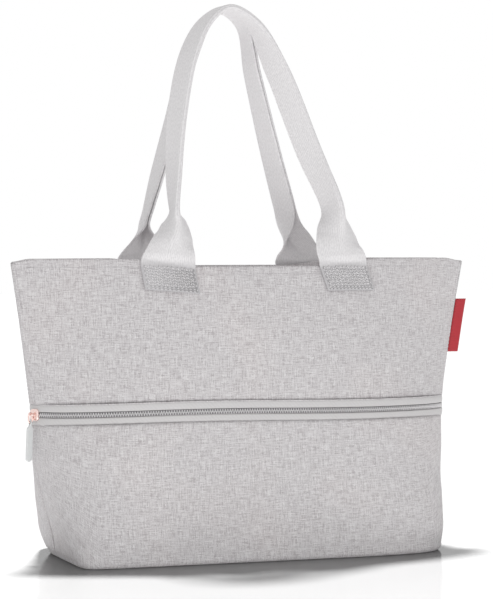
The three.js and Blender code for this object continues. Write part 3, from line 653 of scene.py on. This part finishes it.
dress(teeth, moulded_nylon("nylon_coil_loops", "#D9D7D8", "#C8C6C7", 0.4), "zip_teeth")


# The handles: two straps of 46 mm polyester webbing. Each foot lies flat on its panel and is boxed down with
# stitches, the left one in front a little askew; above the rim the strap folds along its middle, and both
# straps meet in one arch.
WEBBING, WEBBING_WIDTH, FOLD_GAP = 0.002, 0.046, 0.0006
FOOT_SPREAD, FOOT_LENGTH, FOOT_SEAT, HANDLE_RISE = 0.162, 0.0213, 0.00045, 0.2247
FOOT_SLANT = {"front": (0.085, 0), "back": (0, 0)}
# The stations run from the left foot to the right one, in shares: up of the handle's rise, foot of its
# length, front and back of half the foot spread, out of half the rim's depth. Turns are in degrees. A fold
# of 1 closes the strap, and lies draws it to the panel. Most of the values are what a least-squares fit to
# the straps' outlines in the photograph gave, and the rest are given.
STATIONS = {
    "foot": (1, 0, 0) + (0,) * 15 + (0, 0, 1),
    "up": (0, 0, 0.025, 0.07, 0.125, 0.17, 0.22, 0.347, 0.578, 0.819, 0.946, 0.998, 0.944, 0.752, 0.43,
           0.22, 0.125, 0.07, 0.025, 0, 0),
    "front": (-1.0, -1.03, -1.03, -1, -0.924, -0.9, -0.911, -0.896, -0.835, -0.675, -0.465, -0.217, 0.0584,
              0.342, 0.685, 0.923, 0.928, 0.907, 0.936, 0.941, 1.02),
    "back": (-0.98, -0.99, -0.974, -0.954, -0.961, -0.96, -0.932, -0.854, -0.69, -0.528, -0.36, -0.178,
             0.0668, 0.196, 0.442, 0.639, 0.748, 0.861, 0.912, 0.919, 1.0),
    "front_out": (0, 0, 0.865, 0.812, 0.747, 0.704, 0.67, 0.571, 0.466, 0.359, 0.268, 0.225, 0.247, 0.302,
                  0.438, 0.667, 0.741, 0.805, 0.866, 0, 0),
    "back_out": (0, 0, 0.913, 0.85, 0.763, 0.694, 0.649, 0.556, 0.439, 0.328, 0.27, 0.242, 0.285, 0.33,
                 0.428, 0.584, 0.768, 0.848, 0.921, 0, 0),
    "front_turn": (0, 0, 79.7, 81.1, 80.8, 81.8, 85.4, 100, 112, 111, 101, 90, 97, 131, 136, 101, 101, 98,
                   92.7, 0, 0),
    "back_turn": (0, 0, 81.2, 85.4, 90.3, 93.3, 91.7, 83.1, 76.2, 74, 84, 88, 87, 76, 63.4, 57.2, 70.1,
                  79.9, 91.2, 0, 0),
    "front_fold": (0, 0, 0.15, 0.37, 0.57, 0.73, 1, 1, 1, 1, 1, 1, 1, 1, 1, 0.78, 0.37, 0.18, 0.04, 0, 0),
    "back_fold": (0, 0, 0.18, 0.49, 0.77, 0.99, 1, 1, 1, 1, 1, 1, 1, 1, 1, 1, 0.68, 0.49, 0.2, 0, 0),
    "lies": (1, 1, 0.9, 0.7, 0.25) + (0,) * 11 + (0.25, 0.7, 0.9, 1, 1),
}


def strap_line(points, share):
    """Place and direction at shares of a centripetal Catmull-Rom curve: a cubic between two points, whose end
    slopes weigh the neighbouring chords by the square roots of the distances."""
    ends = np.concatenate([[2 * points[0] - points[1]], points, [2 * points[-1] - points[-2]]])
    spans = np.linalg.norm(np.diff(ends, axis=0), axis=1) ** 0.5
    at = share * (len(points) - 1)
    i = np.clip(at.astype(int), 0, len(points) - 2)
    w = (at - i)[:, None]
    p0, p1, p2, p3 = (ends[i + k] for k in range(4))
    d0, d1, d2 = (spans[i + k][:, None] for k in range(3))
    t1 = ((p1 - p0) / d0 - (p2 - p0) / (d0 + d1) + (p2 - p1) / d1) * d1
    t2 = ((p2 - p1) / d1 - (p3 - p1) / (d1 + d2) + (p3 - p2) / d2) * d1
    c2, c3 = -3 * p1 + 3 * p2 - 2 * t1 - t2, 2 * p1 - 2 * p2 + t1 + t2
    place = p1 + t1 * w + c2 * w ** 2 + c3 * w ** 3
    way = t1 + 2 * c2 * w + 3 * c3 * w ** 2
    return place, way / np.linalg.norm(way, axis=1, keepdims=True)


def strap_loop(fold, half_steps=20, edge_steps=5):
    """The strap's section for each fold: its middle line bends round a soft ridge and swings back in two
    straight leaves; the loop runs half a webbing either side of it and half round each selvedge."""
    swing = fold[:, None] * math.pi / 2
    bend = (WEBBING + FOLD_GAP) / 2 + (1 - fold[:, None]) * WEBBING
    across = WEBBING_WIDTH / 2 * np.sin(np.linspace(-1, 1, 2 * half_steps + 1) * math.pi / 2) * 0.985
    cap = np.linspace(0, math.pi, edge_steps + 2)[1:-1]
    w = np.concatenate([across, np.full(edge_steps, across[-1]), across[::-1], np.full(edge_steps, across[0])])
    offset = np.concatenate([np.ones(len(across)), np.cos(cap), -np.ones(len(across)), -np.cos(cap)])
    beyond = np.concatenate([np.zeros(len(across)), np.sin(cap), np.zeros(len(across)), -np.sin(cap)])
    turn = np.clip(w[None, :] / bend, -swing, swing)
    rest = w[None, :] - turn * bend
    u = bend * np.sin(turn) + rest * np.cos(turn)
    v = bend * (1 - np.cos(turn)) + np.abs(rest) * np.sin(np.abs(turn))
    half = WEBBING / 2
    u = u + offset * half * np.sin(turn) + beyond * half * np.cos(turn)
    v = v - offset * half * np.cos(turn) + beyond * half * np.sin(turn)
    leaf = WEBBING_WIDTH / 2 - bend * swing
    middle = (bend * (1 - np.cos(swing)) + leaf * np.sin(swing)) / 2
    return u, v - middle, w, offset


SWELL, SWELL_AT, SWELL_WIDTH = 0.0006, 0.0115, 0.0026
DENT, DENT_AT, DENT_WIDTH = 0.0010, 0.0045, 0.0035
CREASE, CREASE_AT, CREASE_LENGTH = 0.0008, 0.020, 0.009
CREASE_ASIDE, CREASE_SLANT, CREASE_WIDTH = 0.004, 0.45, 0.0016


def bell(value, middle, width):
    """Bell curve: the exponential of minus the squared distance from the middle, in widths."""
    return np.exp(-((value - middle) / width) ** 2)


def box_swell(over, w, creased):
    """How far the webbing stands out over its sewn box: a dent across it 4 mm above the rim, a swelling 11 mm
    above it, both fading towards the selvedges, and a slanting crease beside the middle, as bell curves."""
    level = np.maximum(0, 1 - (2 * w / WEBBING_WIDTH) ** 2)
    aside = -CREASE_ASIDE - CREASE_SLANT * (over - CREASE_AT)
    crease = bell(w, aside, CREASE_WIDTH) * bell(over, CREASE_AT, CREASE_LENGTH)
    return (SWELL * bell(over, SWELL_AT, SWELL_WIDTH) * level - DENT * bell(over, DENT_AT, DENT_WIDTH) * level
            - CREASE * crease * creased)


def webbing_strap(name, side, facing, steps=420):
    """One strap: the section carried along the line through the stations, level where it lies on the panel,
    with the sewn feet drawn on to the panel by their share of lying."""
    table = {key: np.array(values, float) for key, values in STATIONS.items()}
    x = table[side] * FOOT_SPREAD / 2
    z = RIM_HEIGHT + table["up"] * HANDLE_RISE - table["foot"] * FOOT_LENGTH
    on = table["lies"] == 1
    half = WEBBING_WIDTH / 2
    inner, outer = panel_depth(x - half, z), panel_depth(x + half, z)
    bow = panel_depth(x, z) - (inner + outer) / 2
    out = np.where(on, panel_depth(x, z) + FOOT_SEAT + WEBBING / 2, table[side + "_out"] * RIM_DEPTH / 2)
    turn = np.where(on, np.degrees(np.arctan2(2 * half, outer - inner)), table[side + "_turn"])
    fold = np.where(on, np.arctan2(bow, half) / (math.pi / 2), table[side + "_fold"])
    share = np.linspace(0, 1, steps)
    at = share * (len(x) - 1)
    order = np.arange(len(x))
    place, way = strap_line(np.stack([x, facing * out, z], -1), share)
    lies = np.clip(smooth_rows(order, table["lies"], at), 0, 1)
    fold = np.clip(smooth_rows(order, fold, at), 0, 1)
    turn = np.radians(smooth_rows(order, turn, at))
    level = np.stack([np.zeros(steps), np.zeros(steps), np.sign(way[:, 2])], -1)
    way = way + lies[:, None] * (level - way)
    way /= np.linalg.norm(way, axis=1, keepdims=True)
    back = np.stack([np.cos(turn), -facing * np.sin(turn), np.zeros(steps)], -1)
    back -= np.sum(back * way, axis=1, keepdims=True) * way
    back /= np.linalg.norm(back, axis=1, keepdims=True)
    aside = -facing * np.cross(back, way)
    u, v, w, offset = strap_loop(fold)
    points = place[:, None] + u[..., None] * aside[:, None] + v[..., None] * back[:, None]
    run = np.concatenate([[0], np.cumsum(np.linalg.norm(np.diff(place, axis=0), axis=1))])
    end = np.minimum(run, run[-1] - run)[:, None]
    left = (run < run[-1] / 2)[:, None]
    swell = box_swell(end - FOOT_LENGTH, w[None, :] * np.where(left, -facing, facing), left)
    depth = panel_depth(points[..., 0], points[..., 2]) + FOOT_SEAT + WEBBING * (offset[None, :] + 1) / 2
    points[..., 1] += lies[:, None] * (facing * depth - points[..., 1])
    slant = np.where(left, *FOOT_SLANT[side]) * (1 - smooth_step(end, FOOT_LENGTH, 2 * FOOT_LENGTH))
    points[..., 2] -= slant * w[None, :]
    points -= swell[..., None] * back[:, None]
    if facing > 0:
        points, w = points[:, ::-1], w[::-1]
    along = np.broadcast_to(end, points.shape[:2])
    left = np.broadcast_to(w[None, :], along.shape)
    right = np.broadcast_to(np.roll(w, -1)[None, :], along.shape)
    return surface(name, points, (left, right, along), poles=(points[0].mean(0), points[-1].mean(0)))


# Ribbed polyester webbing: soft cords that the eye reads as fine lengthwise lines, pressed flatter in the
# sewn boxes. The boxes are a little darker, partly from the pressed webbing's own tone and partly from painted
# shade. Painted shade also runs on 7 mm above them, over the dent there, on both faces of the strap. The
# cords are drawn 1.6 mm apart and their picks 1.1 mm apart, twice as coarse as they are.
WEBBING_COLOUR, WEBBING_SHADE, SEWN_AND_PAINTED_SHADE, SEWN_AND_PAINTED_SHADE_SHARE = "#EAE8E9", "#D6D4D5", "#B3B1B3", 0.8
CORD, PICK, SEWN_AND_PAINTED_SHADE_FADE = 0.0016, 0.0011, (FOOT_LENGTH - 0.002, FOOT_LENGTH + 0.007)


def ribbed_webbing(name, colour, shade):
    """Webbing: cords run lengthwise, crossed by much fainter picks; pressed tone and painted shade darken a
    foot and the dent just above it.
    """
    made, tree, shader = finish_of(name, Roughness=0.78, Sheen_Weight=0.15, Sheen_Roughness=0.5)
    shader.inputs["Specular IOR Level"].default_value = 0.3
    place = put(tree, "ShaderNodeUVMap", uv_map="weave").outputs[0]
    rate = (2 * math.pi / CORD, 2 * math.pi / PICK, 1)
    count = put(tree, "ShaderNodeVectorMath", {0: place, 1: rate}, operation="MULTIPLY").outputs[0]
    waves = put(tree, "ShaderNodeSeparateXYZ", {0: put(tree, "ShaderNodeVectorMath", {0: count},
                                                       operation="SINE").outputs[0]})
    weave = put(tree, "ShaderNodeMath", {0: waves.outputs[1], 1: 0.45, 2: waves.outputs[0]},
                operation="MULTIPLY_ADD").outputs[0]
    drawn = put(tree, "ShaderNodeVectorMath", {0: place, 1: (900, 420, 1)}, operation="MULTIPLY").outputs[0]
    slub = put(tree, "ShaderNodeTexNoise", {"Vector": drawn, "Scale": 1.0, "Detail": 2.0},
               noise_dimensions="2D").outputs[0]
    depth = put(tree, "ShaderNodeMapRange", {0: weave, 1: -1.3, 2: 1.3, 3: 0.45, 4: 0.0}).outputs[0]
    both = put(tree, "ShaderNodeMath", {0: slub, 1: depth}, operation="ADD").outputs[0]
    share = put(tree, "ShaderNodeMapRange", {0: both, 1: 0.4, 2: 1.05, 3: 0.0, 4: 1.0}).outputs[0]
    tone = two_tone(tree, share, colour, shade)
    # Painted shade: the mask reaches 7 mm past the foot, where the dent above the box lies in shade, and it
    # darkens the inner face too.
    end = put(tree, "ShaderNodeSeparateXYZ", {0: place}).outputs[1]
    sewn = put(tree, "ShaderNodeMapRange", {0: end, 1: SEWN_AND_PAINTED_SHADE_FADE[0], 2: SEWN_AND_PAINTED_SHADE_FADE[1], 3: SEWN_AND_PAINTED_SHADE_SHARE, 4: 0.0})
    pressed_and_painted_shade = put(tree, "ShaderNodeMix", {0: sewn.outputs[0], 6: tone, 7: srgb(SEWN_AND_PAINTED_SHADE)},
                  data_type="RGBA").outputs[2]
    tree.links.new(pressed_and_painted_shade, shader.inputs["Base Color"])
    bump = put(tree, "ShaderNodeBump", {"Height": weave, "Strength": 0.3, "Distance": 0.0002})
    tree.links.new(bump.outputs[0], shader.inputs["Normal"])
    return made


webbing = ribbed_webbing("ribbed_polyester_webbing", WEBBING_COLOUR, WEBBING_SHADE)
for name, side, facing in (("front_handle", "front", -1), ("back_handle", "back", 1)):
    strap = webbing_strap(f"{name}_strap", side, facing)
    dress(strap, webbing, "webbing", name)


# The stitches on the four feet: a double row along the bottom and one up each edge, with close zigzag rows
# between them, all in light thread pulled tight into the webbing. A short dark grey capsule at each needle
# point is painted shade for the needle hole.
BOX_EDGE, ZIGZAG_STEP, ZIGZAG_RISE, BOX_THREAD, NEEDLE_HOLE = 0.0020, 0.0019, 0.0024, 0.00040, 0.00034
BOTTOM_ROWS, EDGE_FOOT, EDGE_TOP, UNEVEN = (0.0016, 0.0034), 0.0016, 0.001, 0.0006
ZIGZAG_ROWS, ZIGZAG_MARGIN = (0.0055, 0.0078, 0.0101, 0.0124, 0.0147, 0.0172, 0.0196), 0.001
HOLE_REACH, ZIGZAG_SHARE, SUNK = np.array([0.00025, 0, 0.00035]), 0.8, 0.3


def foot_face(middle, across, z, facing, proud):
    """Points on the outer face of a sewn foot: depth of the panel plus seat, webbing and a little more."""
    x = middle + across
    y = facing * (panel_depth(x, z) + FOOT_SEAT + WEBBING + proud)
    return np.stack([x, y, z], -1)


box_thread = sewing_thread("bright_polyester_thread", "#F6F4F5")
# Painted shade: dark grey capsules at the needle points stand for the shadow in the needle holes.
needle_hole_painted_shade = sewing_thread("painted_needle_hole_shade", "#8C8A8C")
bottom, top = RIM_HEIGHT - FOOT_LENGTH, RIM_HEIGHT
half = WEBBING_WIDTH / 2 - BOX_EDGE
lines = []
for up in BOTTOM_ROWS:
    lines.append((np.linspace(-half, half, 60), np.full(60, bottom + up)))
for edge in (-half, half):
    lines.append((np.full(40, edge), np.linspace(bottom + EDGE_FOOT, top - EDGE_TOP, 40)))
straight = len(lines)
hand = np.random.default_rng(7)
count = int(2 * half / ZIGZAG_STEP)
for up in ZIGZAG_ROWS:
    zig = (np.linspace(-half + ZIGZAG_MARGIN, half - ZIGZAG_MARGIN, count)
           + hand.uniform(-UNEVEN, UNEVEN, count))
    lines.append((zig, bottom + up + ZIGZAG_RISE / 2 * (-1.0) ** np.arange(count)
                  + hand.uniform(-UNEVEN, UNEVEN, count)))
for name, side, facing in (("front_handle", "front", -1), ("back_handle", "back", 1)):
    rows, holes = [], []
    for low, high in ((0, 1), (20, 19)):
        spots = np.array(STATIONS[side]) * FOOT_SPREAD / 2
        for k, (across, z) in enumerate(lines):
            middle = spots[low] + (spots[high] - spots[low]) * (z - bottom) / FOOT_LENGTH
            z = z - FOOT_SLANT[side][low > 0] * across
            face = foot_face(middle, across, z, facing, SUNK * BOX_THREAD)
            out = np.broadcast_to(np.array([0.0, float(facing), 0]), face.shape)
            rows.append(row_along(face, out, STITCH, STITCH_GAP) if k < straight
                        else (face[:-1], face[:-1] + ZIGZAG_SHARE * (face[1:] - face[:-1]), out[1:]))
            holes.append((face - HOLE_REACH, face + HOLE_REACH, out))
    made = stitches(f"{name}_stitches", *(np.concatenate(p) for p in zip(*rows)), BOX_THREAD)
    dress(made, box_thread, "webbing")
    made = stitches(f"{name}_painted_needle_hole_shades", *(np.concatenate(p) for p in zip(*holes)), NEEDLE_HOLE)
    dress(made, needle_hole_painted_shade, "webbing")


# The label: a short length of red satin ribbon folded in two and caught in the right side seam, left bare.
LABEL_HEIGHT, LABEL_REACH, LABEL, LABEL_MIDDLE, LABEL_CURL = 0.048, 0.0105, 0.0011, 0.195, 0.0007
LABEL_RED, LABEL_SHADE = "#C02733", "#9B1B26"


def satin_ribbon(name, colour, shade):
    """Satin ribbon: fine level threads over the whole width that catch the light in a narrow sheen."""
    made, tree, shader = finish_of(name, Roughness=0.42, Sheen_Weight=0.1)
    place = put(tree, "ShaderNodeTexCoord").outputs["Object"]
    drawn = put(tree, "ShaderNodeVectorMath", {0: place, 1: (150, 150, 1600)}, operation="MULTIPLY").outputs[0]
    threads = put(tree, "ShaderNodeTexNoise", {"Vector": drawn, "Scale": 1.0, "Detail": 2.0}).outputs[0]
    tone = two_tone(tree, threads, colour, shade)
    tree.links.new(tone, shader.inputs["Base Color"])
    bump = put(tree, "ShaderNodeBump", {"Height": threads, "Strength": 0.3, "Distance": 0.0001})
    tree.links.new(bump.outputs[0], shader.inputs["Normal"])
    return made


rows_up = np.linspace(0, 1, 25)
z = LABEL_MIDDLE + LABEL_HEIGHT * (rows_up - 0.5)
a, _, lean, _, _ = section_at(z)
loop = np.array([(0, -0.5), (0.3, -0.55), (0.6, -0.6), (0.85, -0.52), (0.96, -0.38), (1, 0), (0.96, 0.38),
                 (0.85, 0.46), (0.6, 0.42), (0.3, 0.45), (0, 0.5)])
curl = LABEL_CURL * np.sin(2.4 * (rows_up - 0.35))[:, None] * loop[None, :, 0] ** 1.5
grid = np.stack([(a * (1 + lean) + SEAM_GAP)[:, None] + loop[None, :, 0] * LABEL_REACH,
                 loop[None, :, 1] * LABEL + curl, np.broadcast_to(z[:, None], curl.shape)], -1)
label = surface("side_label_ribbon", grid, poles=(grid[0].mean(0), grid[-1].mean(0)))
dress(label, satin_ribbon("red_satin_ribbon", LABEL_RED, LABEL_SHADE), "label_ribbon", "side_label")


# The slider and its pull: a die-cast slider plated rose gold, with a bridge that holds a wire ring, and a
# flat coated tab that hangs from the ring. Ring and tab swing together on the bridge.
SLIDER_LENGTH, SLIDER_HEIGHT, SLIDER, SLIDER_FROM_SEAM = 0.010, 0.0084, 0.0026, 0.008
BAR_WIRE, BAR_SPAN, LINK_WIRE, LINK_LENGTH, PIN_PLAY = 0.0016, 0.0044, 0.0014, 0.010, 0.00035
TAB_LENGTH, TAB_WIDTH, TAB, EYE_WALL, TAB_LEAN, PLATE_SWELL = 0.033, 0.0064, 0.002, 0.0009, 0.05, 1.22
PLATE_WEDGE, PLATE_POWER, BRIDGE_BEND, PLATING, PLATING_SHADE = 0.16, 0.6, 0.0009, "#F8E8E4", "#E2BEB5"
x, y = section_rings(np.array([ZIP_HEIGHT]), np.array([-TAPE_PROUD]), 12)
seam, following = (np.array([x[0, k], y[0, k], 0]) for k in (24, 25))
zip_way = (following - seam) / np.linalg.norm(following - seam)
zip_out = np.array([zip_way[1], -zip_way[0], 0])
slider_spot = seam + SLIDER_FROM_SEAM * zip_way
slider_spot[2] = ZIP_HEIGHT - zip_sag(slider_spot[0])
link_inside = BAR_WIRE / 2 + PIN_PLAY
bend = link_inside + LINK_WIRE / 2
bar_out = SEAM_GAP + SLIDER + PIN_PLAY + link_inside + LINK_WIRE
pin_drop = LINK_LENGTH - LINK_WIRE - bend


def on_slider(x, y, z):
    """Places in the slider's own frame, along the zip, out of the bag and up, turned into the bag's frame."""
    upward = z[..., None] * np.array([0, 0, 1.0])
    return slider_spot + x[..., None] * -zip_way + y[..., None] * zip_out + upward


def wire(name, path, radius, closed, sides=16):
    """A round wire: a circle carried along a path in one plane, its frame built from the path's direction and
    the plane's own normal."""
    if closed:
        way = np.roll(path, -1, 0) - np.roll(path, 1, 0)
    else:
        way = np.gradient(path, axis=0)
    way /= np.linalg.norm(way, axis=1, keepdims=True)
    normal = np.cross(path[1] - path[0], path[len(path) // 2] - path[0])
    normal = np.broadcast_to(normal / np.linalg.norm(normal), path.shape)
    aside = np.cross(way, normal)
    angle = np.arange(sides) * 2 * math.pi / sides
    grid = path[:, None] + radius * (np.cos(angle)[None, :, None] * normal[:, None]
                                     + np.sin(angle)[None, :, None] * -aside[:, None])
    return surface(name, grid, wrap=closed, poles=(None, None) if closed else (path[0], path[-1]))


def plated_metal(name, colour, shade):
    """Rose gold plating over polished zinc: a metal with faint buffing in its tone and its roughness."""
    made, tree, shader = finish_of(name, Metallic=1.0)
    place = put(tree, "ShaderNodeTexCoord").outputs["Object"]
    buffed = put(tree, "ShaderNodeTexNoise", {"Vector": place, "Scale": 900.0, "Detail": 3.0}).outputs[0]
    rough = put(tree, "ShaderNodeMapRange", {0: buffed, 1: 0.3, 2: 0.7, 3: 0.14, 4: 0.28}).outputs[0]
    tone = two_tone(tree, buffed, colour, shade)
    tree.links.new(tone, shader.inputs["Base Color"])
    tree.links.new(rough, shader.inputs["Roughness"])
    return made


rose_gold = plated_metal("polished_rose_gold_plating", PLATING, PLATING_SHADE)
angle = np.linspace(0, 2 * math.pi, 49)[:-1]
wedge = 1 - PLATE_WEDGE * np.cos(angle)
outline_x = PLATE_SWELL * SLIDER_LENGTH / 2 * np.sign(np.cos(angle)) * np.abs(np.cos(angle)) ** PLATE_POWER
outline_z = PLATE_SWELL * SLIDER_HEIGHT / 2 * wedge
outline_z = outline_z * np.sign(np.sin(angle)) * np.abs(np.sin(angle)) ** PLATE_POWER
levels = np.array([(0.86, 0.0), (0.96, 0.04), (1, 0.14), (1, 0.62), (0.97, 0.8), (0.88, 0.93), (0.72, 1.0),
                   (0.4, 1.06)])
heights = np.broadcast_to(levels[:, 1:], (len(levels), len(angle)))
grid = on_slider(levels[:, :1] * outline_x, SEAM_GAP + SLIDER * heights, levels[:, :1] * outline_z)
plate = surface("slider_plate", grid[:, ::-1], poles=(grid[0].mean(0), grid[-1].mean(0) + 0.0001 * zip_out))
dress(plate, rose_gold, "rose_gold", "zip_slider")
leg = (BAR_SPAN + BAR_WIRE) / 2
arc = np.linspace(0, math.pi / 2, 7)
left_arc = np.stack([-leg + BRIDGE_BEND * (1 - np.cos(arc)), bar_out - BRIDGE_BEND * (1 - np.sin(arc))], -1)
left_leg = np.array([[-leg, SEAM_GAP + SLIDER / 2], [-leg, bar_out - 2 * BRIDGE_BEND]])
half_bridge = np.concatenate([left_leg, left_arc])
bridge = np.concatenate([half_bridge, half_bridge[::-1] * [-1, 1]])
bridge_line = on_slider(bridge[:, 0], bridge[:, 1], np.zeros(len(bridge)))
bridge = wire("slider_bridge", bridge_line, BAR_WIRE / 2, False)
dress(bridge, rose_gold, "rose_gold")
arc = np.linspace(0, math.pi, 25)
ring_out = np.concatenate([np.cos(arc), -np.cos(arc)]) * bend
ring_up = np.concatenate([np.sin(arc) * bend, bend - pin_drop - np.sin(arc) * bend])
ring = wire("pull_ring", on_slider(np.zeros(50), bar_out + ring_out, ring_up), LINK_WIRE / 2, True)
dress(ring, rose_gold, "rose_gold", "pull_link", body="pull")


def coated_strip(name, colour, shade):
    """Coated split leather: a satin light grey film with a fine pebbled grain about 0.4 mm across."""
    made, tree, shader = finish_of(name, Roughness=0.45, Coat_Weight=0.15, Coat_Roughness=0.3)
    place = put(tree, "ShaderNodeTexCoord").outputs["Object"]
    grain = put(tree, "ShaderNodeTexVoronoi", {"Vector": place, "Scale": 2500.0}).outputs[0]
    slow = put(tree, "ShaderNodeTexNoise", {"Vector": place, "Scale": 220.0, "Detail": 3.0}).outputs[0]
    tone = two_tone(tree, slow, colour, shade)
    tree.links.new(tone, shader.inputs["Base Color"])
    bump = put(tree, "ShaderNodeBump", {"Height": grain, "Strength": 0.3, "Distance": 0.00008})
    tree.links.new(bump.outputs[0], shader.inputs["Normal"])
    return made


TAB_COLOUR, TAB_SHADE, TAB_SIDE, TAB_FACE, EYE_POWER = "#DCDEDE", "#CED0D0", 0.35, 0.55, 0.6
tab_finish = coated_strip("light_grey_coated_leather", TAB_COLOUR, TAB_SHADE)
hole = LINK_WIRE / 2 + PIN_PLAY
rim = hole + EYE_WALL
down = np.concatenate([[-rim + 0.0004], -np.linspace(rim - 0.0002, TAB_LENGTH, 90)])
neck = smooth_step(-down, rim - 0.0004, rim + TAB_WIDTH / 2)
w = (link_inside - PIN_PLAY) + (TAB_WIDTH / 2 - (link_inside - PIN_PLAY)) * neck
past = np.clip((-down - (TAB_LENGTH - TAB_WIDTH / 2)) / (TAB_WIDTH / 2), 0, 0.995)
w = w * np.sqrt(1 - past ** 2)
thick = TAB / 2 * np.sqrt(1 - np.clip((past - 0.8) / 0.2, 0, 0.95) ** 2 * 0.5)
angle = np.linspace(0, 2 * math.pi, 33)[:-1]
round_x = np.sign(np.cos(angle)) * np.abs(np.cos(angle)) ** TAB_SIDE
round_y = np.sign(np.sin(angle)) * np.abs(np.sin(angle)) ** TAB_FACE
grid = on_slider(thick[:, None] * round_y[None, :], bar_out + w[:, None] * round_x[None, :],
                 -pin_drop + np.broadcast_to(down[:, None], (len(down), 32)))
grid += TAB_LEAN * (rim - np.minimum(-rim, down))[:, None, None] * zip_out
tongue = surface("pull_tab_tongue", grid, poles=(grid[0].mean(0), grid[-1].mean(0)))
dress(tongue, tab_finish, "coated_tab", "pull_tab", body="pull")
arc = np.linspace(0, 2 * math.pi, 41)[:-1]
tube = np.linspace(0, 2 * math.pi, 17)[:-1]
ring_radius = (hole + rim) / 2 + EYE_WALL / 2 * np.cos(tube)[None, :]
grid = on_slider(ring_radius * np.cos(arc)[:, None], bar_out + np.broadcast_to((link_inside - PIN_PLAY)
                 * np.sign(np.sin(tube)) * np.abs(np.sin(tube)) ** EYE_POWER, (len(arc), len(tube))),
                 -pin_drop + ring_radius * np.sin(arc)[:, None])
eye = surface("pull_tab_eye", grid, wrap=True)
dress(eye, tab_finish, "coated_tab", body="pull")
